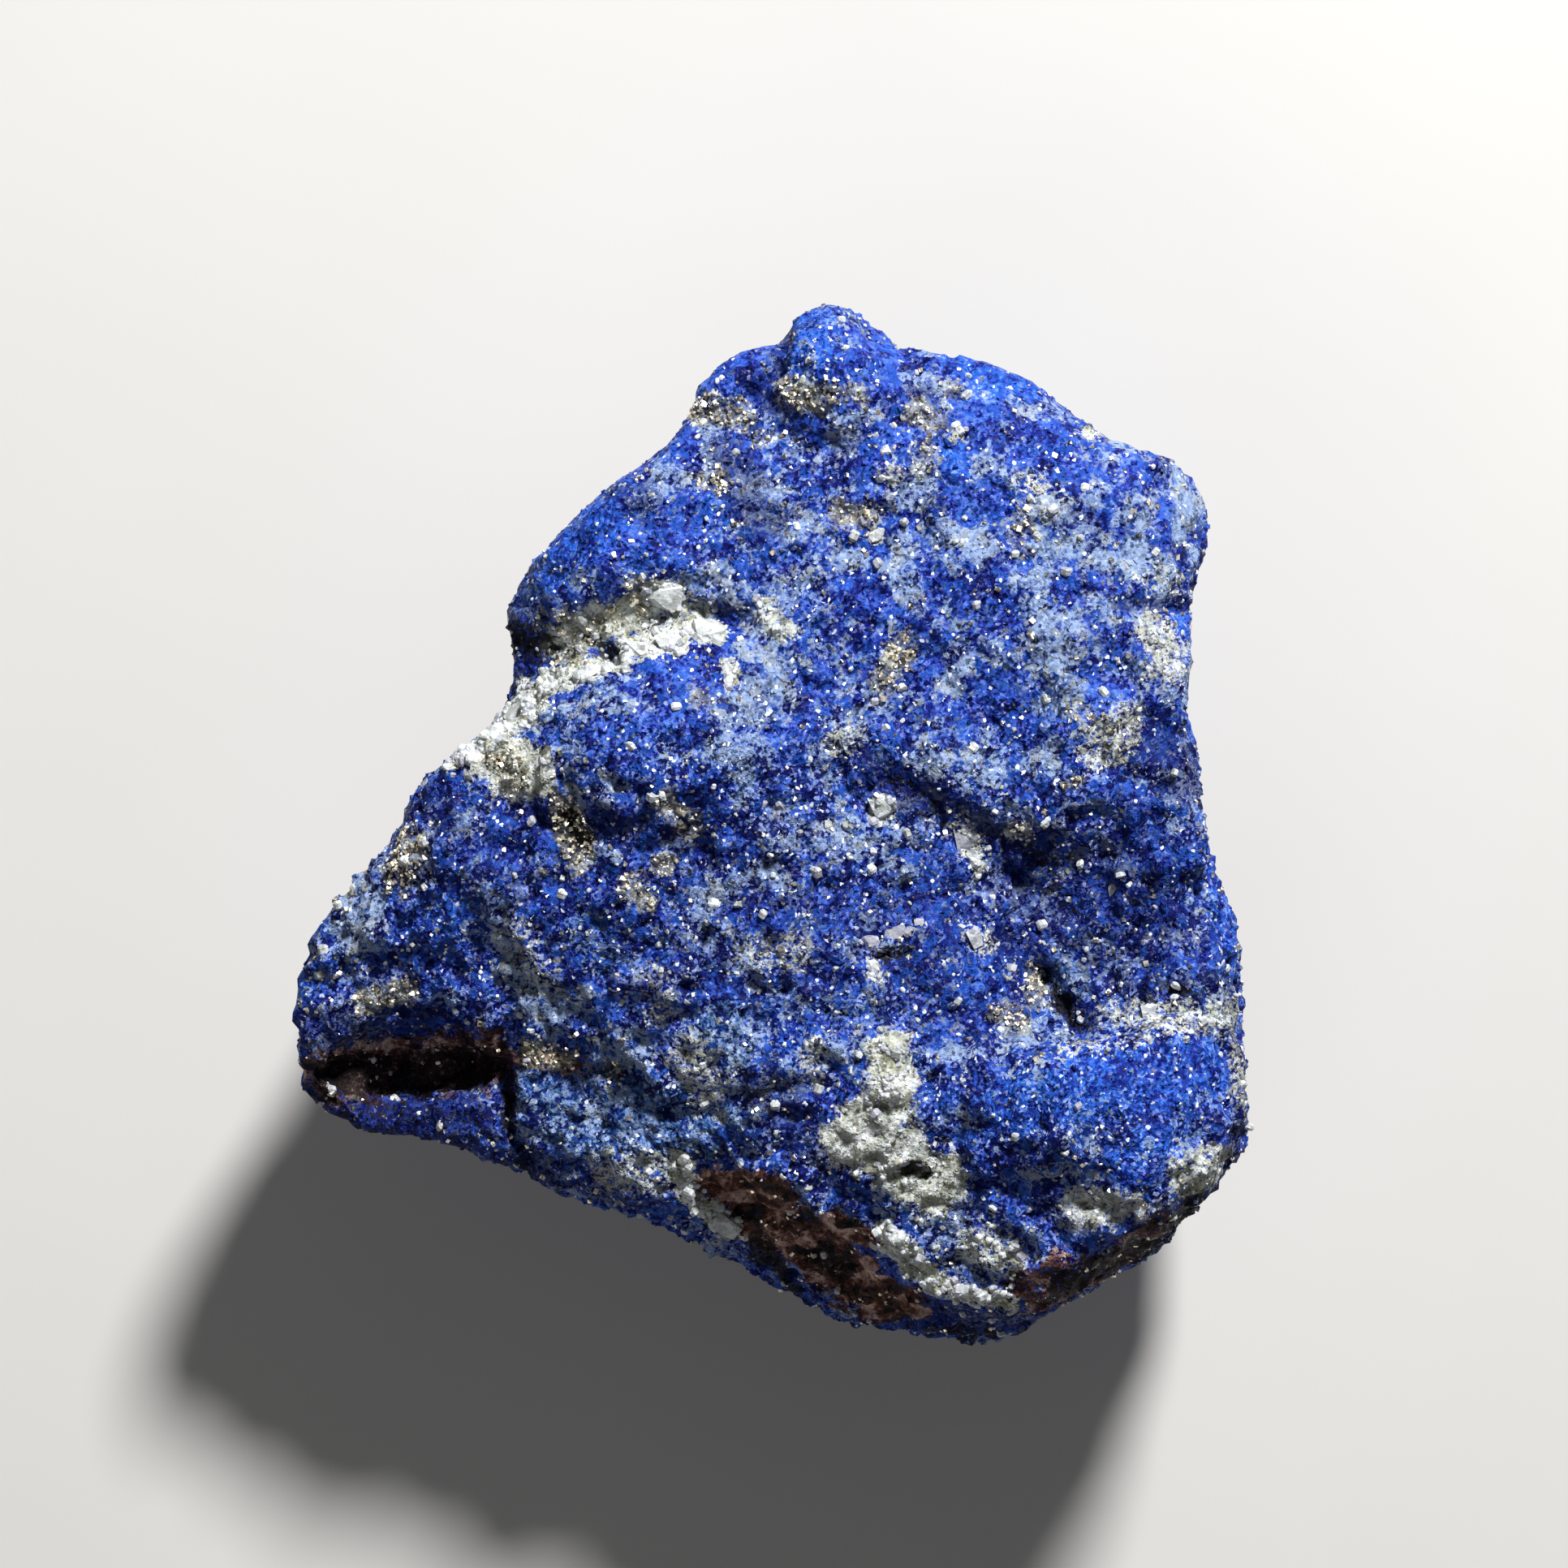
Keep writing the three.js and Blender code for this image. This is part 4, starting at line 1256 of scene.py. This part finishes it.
class Skin:
    """The rock's finished surface, on which crystals sit; sizes in millimetres."""

    height_pull: float = 0.2
    upward: float = 0.2
    around: float = 0.8

    def __init__(self, rock: bpy.types.Object) -> None:
        """Reads the rock's triangles.

        Args:
            rock: the finished rock.
        """
        mesh = rock.data
        mesh.calc_loop_triangles()
        corners = np.empty(len(mesh.loop_triangles) * 3, np.int32)
        mesh.loop_triangles.foreach_get("vertices", corners)
        self.triangles = (vertex_array(mesh) / MM)[corners.reshape(-1, 3)]
        first, second, third = (self.triangles[:, corner] for corner in range(3))
        across = np.cross(second - first, third - first)
        double = np.linalg.norm(across, axis=1)
        self.areas = double / 2.0
        self.facing = across / np.maximum(double, TINY)[:, None]
        self.middles = self.triangles.mean(axis=1)

    def under(self, spot: Point2) -> tuple[np.ndarray, np.ndarray]:
        """Finds the upper side under a spot seen from above.

        Args:
            spot: the spot in millimetres.

        Returns:
            The place in millimetres and the way the surface faces there.
        """
        beside = np.linalg.norm(self.middles[:, :2] - np.array(spot), axis=1)
        lift = self.height_pull * (self.facing[:, 2] > self.upward) * self.middles[:, 2]
        nearest = np.argmin(beside - lift)
        close = np.linalg.norm(self.middles - self.middles[nearest], axis=1) < self.around
        facing = (self.facing[close] * self.areas[close, None]).sum(axis=0)
        return self.middles[nearest], facing / np.linalg.norm(facing)

    def strew(
        self, count: int, density: np.ndarray, rng: np.random.Generator
    ) -> tuple[np.ndarray, np.ndarray]:
        """Picks places on the surface.

        Args:
            count: how many.
            density: relative grains per area, one for each triangle.
            rng: seeded random numbers.

        Returns:
            The places in millimetres and the way the surface faces there.
        """
        chance = self.areas * density
        chosen = rng.choice(len(chance), size=count, p=chance / chance.sum())
        a, b = rng.random((2, count, 1))
        fold = a + b > 1.0
        a, b = np.where(fold, 1.0 - a, a), np.where(fold, 1.0 - b, b)
        corner = self.triangles[chosen]
        places = corner[:, 0] + a * (corner[:, 1] - corner[:, 0]) + b * (corner[:, 2] - corner[:, 0])
        return places, self.facing[chosen]


@dataclass(frozen=True)
class Crystal:
    """One larger calcite crystal: place from above, length, width and height in mm, turn in degrees, dust."""

    at: Point2
    size: Point3
    turn: float = 0.0
    dust: float = 0.0


CRYSTALS: tuple[Crystal, ...] = (
    Crystal((-5.45, 11.7), (1.8, 1.3, 1.2), -4.0),
    Crystal((-3.4, 10.05), (1.8, 0.9, 0.8), -14.0),
    Crystal((-5.2, 9.5), (1.3, 1.2, 0.9), 20.0),
    Crystal((-6.9, 9.2), (1.4, 0.9, 0.8), 10.0),
    Crystal((-9.6, 7.9), (1.3, 0.6, 0.6), 15.0),
    Crystal((-13.0, 6.1), (1.9, 1.3, 1.0), 50.0),
    Crystal((-14.3, 4.9), (1.4, 0.9, 0.8), 40.0),
    Crystal((-2.2, 7.9), (0.55, 1.2, 0.6), 10.0),
    Crystal((5.4, 1.05), (0.9, 1.3, 0.9), 25.0),
    Crystal((9.8, -0.4), (0.9, 1.4, 0.4), 12.0, 0.9),
    Crystal((10.3, -1.6), (0.7, 0.9, 0.5), 35.0, 0.3),
    Crystal((-7.45, 4.2), (0.6, 0.6, 0.5), 30.0),
    Crystal((-5.75, 1.65), (0.45, 0.65, 0.5), 15.0),
    Crystal((2.75, 0.05), (0.4, 0.5, 0.4), 0.0),
    Crystal((3.7, 0.05), (0.45, 0.45, 0.4), 20.0),
    Crystal((19.4, -9.3), (1.1, 0.7, 0.4), 12.0, 0.4),
    Crystal((5.2, -5.8), (1.5, 0.8, 0.4), -8.0, 1.0),
    Crystal((6.2, -5.6), (1.4, 1.0, 0.4), 25.0, 1.0),
    Crystal((7.1, -5.4), (0.9, 0.6, 0.3), -20.0, 1.0),
    Crystal((5.1, -7.1), (0.6, 0.9, 0.4), 20.0, 0.4),
    Crystal((7.5, -4.7), (0.5, 0.4, 0.4), 10.0, 0.8),
    Crystal((10.4, -5.7), (0.7, 1.0, 0.4), 30.0, 0.6),
    Crystal((12.2, -7.3), (0.6, 0.5, 0.4), -10.0, 0.6),
    Crystal((17.3, -3.3), (0.45, 0.7, 0.4), 5.0, 0.3),
    Crystal((5.6, 19.2), (0.5, 0.5, 0.4), 20.0),
    Crystal((5.2, 14.9), (0.9, 0.8, 0.5), 35.0, 0.2),
    Crystal((-1.6, -3.9), (0.55, 0.4, 0.4), 8.0),
    Crystal((-3.4, -4.7), (0.4, 0.35, 0.35), 0.0),
    Crystal((-2.4, -20.6), (1.5, 0.9, 0.8), -35.0),
    Crystal((-4.6, -18.2), (0.8, 1.1, 0.7), 20.0),
    Crystal((9.7, -23.9), (1.2, 0.6, 0.5), -12.0),
)


@dataclass
class CalciteBlocks:
    """The larger calcite crystals, each in its own place."""

    cleaves: int = 9
    cleave_depth: Span = (0.38, 0.56)
    sunk: float = 0.24
    seed: int = 21

    def build(self, skin: Skin, material: bpy.types.Material) -> bpy.types.Object:
        """Builds the crystals as one piece.

        Args:
            skin: the rock's surface.
            material: the crystals' finish.

        Returns:
            The crystals.
        """
        blocks = bmesh.new()
        dust: list[float] = []
        rng = np.random.default_rng(self.seed)
        for crystal in CRYSTALS:
            self._add(blocks, crystal, skin, rng)
            dust += [crystal.dust] * (len(blocks.verts) - len(dust))
        bmesh.ops.triangulate(blocks, faces=blocks.faces)
        mesh = bpy.data.meshes.new("calcite_blocks")
        blocks.to_mesh(mesh)
        blocks.free()
        store(mesh, Mark.DUST, np.array(dust))
        mesh.materials.append(material)
        return piece("calcite_blocks", mesh)

    def _add(
        self, blocks: bmesh.types.BMesh, crystal: Crystal, skin: Skin, rng: np.random.Generator
    ) -> None:
        """Adds one cleaved block, partly sunk into the rock.

        Args:
            blocks: mesh that takes the block.
            crystal: the crystal.
            skin: the rock's surface.
            rng: seeded random numbers.
        """
        place, facing = skin.under(crystal.at)
        block = bmesh.new()
        bmesh.ops.create_cube(block, size=1.0)
        for _ in range(self.cleaves):
            self._cleave(block, Vector(rng.normal(size=3)).normalized(), rng.uniform(*self.cleave_depth))
        bmesh.ops.scale(block, vec=Vector(crystal.size) * MM, verts=block.verts)
        spin = Matrix.Rotation(math.radians(crystal.turn), 4, "Z")
        upright = Vector((0.0, 0.0, 1.0))
        lean = upright.rotation_difference(Vector(facing) + upright).to_matrix().to_4x4()
        seat = Matrix.Translation(Vector(place - facing * self.sunk * crystal.size[2]) * MM)
        bmesh.ops.transform(block, matrix=seat @ lean @ spin, verts=block.verts)
        shaped = bpy.data.meshes.new("crystal")
        block.to_mesh(shaped)
        block.free()
        blocks.from_mesh(shaped)
        bpy.data.meshes.remove(shaped)

    def _cleave(self, block: bmesh.types.BMesh, way: Vector, depth: float) -> None:
        """Splits a flat piece off a block.

        Args:
            block: unit block around the origin.
            way: the way the new face looks.
            depth: how far the new face is from the middle.
        """
        cut = bmesh.ops.bisect_plane(
            block,
            geom=[*block.verts, *block.edges, *block.faces],
            plane_co=way * depth,
            plane_no=way,
            clear_outer=True,
        )
        rim = [part for part in cut["geom_cut"] if isinstance(part, bmesh.types.BMEdge)]
        bmesh.ops.holes_fill(block, edges=rim)


@dataclass(frozen=True)
class GrainCrop:
    """Many small crystals strewn on the rock, as one joined mesh; sizes in millimetres."""

    name: str
    count: int
    size: Span
    sunk: float
    lean: float
    seed: int
    bevel: float = 0.0
    lowest: float = 0.6
    small_bias: float = 1.6
    stretch: Span = (0.7, 1.3)
    dust_bias: int = 3

    def build(
        self, skin: Skin, density: np.ndarray, minerals: MineralMap, material: bpy.types.Material
    ) -> bpy.types.Object:
        """Strews the crystals.

        Args:
            skin: the rock's surface.
            density: relative grains per area, one for each triangle of the surface.
            minerals: where each mineral is.
            material: the crystals' finish.

        Returns:
            The joined crystals.
        """
        rng = np.random.default_rng(self.seed)
        places, facing = skin.strew(self.count, density * (skin.middles[:, 2] > self.lowest), rng)
        corners, faces = self._crystal()
        small, large = self.size
        sizes = small * (large / small) ** (rng.random((self.count, 1)) ** self.small_bias)
        shape = sizes * rng.uniform(*self.stretch, (self.count, 3))
        axes = self._axes(facing, rng)
        seats = places + facing * (sizes * (0.5 - self.sunk))
        turned = np.einsum("nvi,nij->nvj", corners[None] * shape[:, None], axes) + seats[:, None]
        turned[:, :, 2] = np.maximum(turned[:, :, 2], 0.0)
        mesh = bpy.data.meshes.new(self.name)
        indices = (faces[None] + (np.arange(self.count) * len(corners))[:, None, None]).reshape(-1, 3)
        mesh.from_pydata((turned * MM).reshape(-1, 3), [], indices)
        minerals.dress(mesh, places, len(corners))
        shades = np.repeat(rng.random(self.count), len(corners))
        store(mesh, Mark.SHADE, shades)
        store(mesh, Mark.DUST, shades**self.dust_bias)
        mesh.materials.append(material)
        return piece(self.name, mesh)

    def _crystal(self) -> tuple[np.ndarray, np.ndarray]:
        """Makes one crystal of unit size.

        Returns:
            Its corners and its triangles.
        """
        block = bmesh.new()
        bmesh.ops.create_cube(block, size=1.0)
        if self.bevel:
            finish = {"affect": "EDGES", "segments": 1, "profile": 0.5, "material": -1}
            bmesh.ops.bevel(block, geom=block.edges, offset=self.bevel, **finish)
        bmesh.ops.triangulate(block, faces=block.faces)
        block.verts.index_update()
        corners = np.array([v.co for v in block.verts])
        faces = np.array([[v.index for v in f.verts] for f in block.faces])
        block.free()
        return corners, faces

    def _axes(self, facing: np.ndarray, rng: np.random.Generator) -> np.ndarray:
        """Turns each crystal: upright on the surface, spun and leaning at random.

        Args:
            facing: the way the surface faces at each crystal.
            rng: seeded random numbers.

        Returns:
            Three rows for each crystal, its own X, Y and Z.
        """
        up = facing + self.lean * rng.uniform(-1.0, 1.0, facing.shape)
        up /= np.linalg.norm(up, axis=1)[:, None]
        side = np.cross(up, rng.uniform(-1.0, 1.0, facing.shape))
        side /= np.maximum(np.linalg.norm(side, axis=1), TINY)[:, None]
        return np.stack([side, np.cross(up, side), up], axis=1)


@dataclass
class CrystalCrops:
    """The crops of small crystals, each thickest where its own mineral is."""

    skin: Skin
    minerals: MineralMap
    blue: GrainCrop = GrainCrop("lazurite_grains", 14000, (0.10, 0.26), 0.76, 0.5, 11)
    white: GrainCrop = GrainCrop("calcite_crystals", 2400, (0.14, 0.55), 0.75, 0.6, 12, 0.22)
    gold: GrainCrop = GrainCrop("pyrite_grains", 3600, (0.09, 0.25), 0.6, 0.8, 13)
    under_share: float = 0.25
    upper_from: Span = (-0.2, 0.5)
    blue_on_others: float = 0.1
    white_on_grey: float = 0.08
    white_anywhere: float = 0.010
    gold_in_clusters: float = 0.42
    gold_anywhere: float = 0.011
    gold_at_top: float = 0.006
    top_from: Span = (10.0, 22.0)

    def __post_init__(self) -> None:
        """Reads which minerals lie under each triangle, and which triangles look up."""
        self.masks = self.minerals.weights(self.skin.middles)
        self.upper = self.under_share + smoothstep(*self.upper_from, self.skin.facing[:, 2])

    def lazurite(self, material: bpy.types.Material) -> bpy.types.Object:
        """Strews the blue grains, few of them where the rock is rusty or white.

        Args:
            material: the blue rock's finish.

        Returns:
            The grains.
        """
        bare = 1.0 - np.maximum(self.masks[Mineral.RUST], self.masks[Mineral.CALCITE])
        return self.blue.build(self.skin, self.upper * (self.blue_on_others + bare), self.minerals, material)

    def calcite(self, material: bpy.types.Material) -> bpy.types.Object:
        """Strews the white crystals, most of them in the calcite.

        Args:
            material: the crystals' finish.

        Returns:
            The crystals.
        """
        chalky = self.masks[Mineral.CALCITE] ** 3 + self.white_on_grey * self.masks[Mineral.GREY] ** 2
        chalky = chalky + self.white_anywhere * self.upper
        return self.white.build(self.skin, chalky, self.minerals, material)

    def pyrite(self, material: bpy.types.Material) -> bpy.types.Object:
        """Strews the brassy grains, most of them in clusters.

        Args:
            material: the brassy finish.

        Returns:
            The grains.
        """
        top = smoothstep(*self.top_from, self.skin.middles[:, 1])
        single = self.upper * (self.gold_anywhere + self.gold_at_top * top)
        brassy = self.gold_in_clusters * self.masks[Mineral.PYRITE] ** 2 + single
        return self.gold.build(self.skin, brassy, self.minerals, material)


def piece(name: str, mesh: bpy.types.Mesh) -> bpy.types.Object:
    """Puts a mesh in the scene as a piece of the stone.

    Args:
        name: the piece's name.
        mesh: its mesh, in metres in the stone's frame.

    Returns:
        The piece.
    """
    made = bpy.data.objects.new(name, mesh)
    bpy.context.scene.collection.objects.link(made)
    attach(made, BODY)
    LOG.info("%s: %d faces", name, len(mesh.polygons))
    return made


@dataclass
class Stage:
    """Floor, lights and the camera that looks down on the broad face; in metres and watts."""

    floor_size: float = 1.2
    camera_distance: float = 0.45
    camera_near: float = 0.01
    view_width: float = 80.5 * MM
    view_height_plane: float = 18.0 * MM
    view_middle: Point2 = (0.58 * MM, 2.2 * MM)
    key_from: Point3 = (0.16, 0.40, 0.36)
    key_size: float = 0.10
    key_power: float = 6.8
    fill_from: Point3 = (-0.25, -0.42, 0.40)
    fill_size: float = 0.5
    fill_power: float = 0.60
    sky: float = 0.065
    sky_colour: Colour = (0.95, 0.97, 1.0)

    def build(self) -> None:
        """Builds the floor, the lights and the camera."""
        self._floor()
        self._light("key", self.key_from, self.key_size, self.key_power)
        self._light("fill", self.fill_from, self.fill_size, self.fill_power)
        self._camera()
        world = bpy.data.worlds.new("studio")
        world.use_nodes = True
        background = world.node_tree.nodes["Background"].inputs
        background["Color"].default_value = (*self.sky_colour, 1.0)
        background["Strength"].default_value = self.sky
        bpy.context.scene.world = world
        bpy.context.scene.view_settings.view_transform = "Standard"

    def _floor(self) -> None:
        """Builds the pale floor."""
        board = bmesh.new()
        bmesh.ops.create_grid(board, x_segments=1, y_segments=1, size=self.floor_size / 2.0)
        mesh = bpy.data.meshes.new("floor")
        board.to_mesh(mesh)
        board.free()
        mesh.materials.append(FloorFinish().material())
        floor = bpy.data.objects.new("floor", mesh)
        bpy.context.scene.collection.objects.link(floor)

    def _light(self, name: str, place: Point3, size: float, power: float) -> None:
        """Adds a round area light that looks at the stone.

        Args:
            name: the light's name.
            place: where it hangs, in metres.
            size: how wide it is, in metres.
            power: how strong it is, in watts.
        """
        lamp = bpy.data.lights.new(name, "AREA")
        lamp.shape = "DISK"
        lamp.size = size
        lamp.energy = power
        light = bpy.data.objects.new(name, lamp)
        light.location = place
        light.rotation_euler = (-Vector(place)).to_track_quat("-Z", "Y").to_euler()
        bpy.context.scene.collection.objects.link(light)

    def _camera(self) -> None:
        """Adds the camera, straight above the broad face, with the knob at the top of the picture."""
        data = bpy.data.cameras.new("camera")
        camera = bpy.data.objects.new("camera", data)
        data.lens = data.sensor_width * self.camera_distance / self.view_width
        data.clip_start = self.camera_near
        camera.location = (*self.view_middle, self.view_height_plane + self.camera_distance)
        bpy.context.scene.collection.objects.link(camera)
        bpy.context.scene.camera = camera


def main() -> None:
    """Builds the stone's pieces and the stage."""
    logging.basicConfig(level=logging.INFO)
    grain = GrainEffect()
    minerals = MineralMap()
    lapis = LapisFinish().material(grain)
    calcite = CrystalFinish().material(grain)
    pyrite = PyriteFinish().material(grain)
    rock = RockBody().build(minerals, lapis)
    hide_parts("stone")
    skin = Skin(rock)
    crops = CrystalCrops(skin, minerals)
    crops.lazurite(lapis)
    crops.calcite(calcite)
    CalciteBlocks().build(skin, calcite)
    crops.pyrite(pyrite)
    Stage().build()


if __name__ == "__main__":
    main()
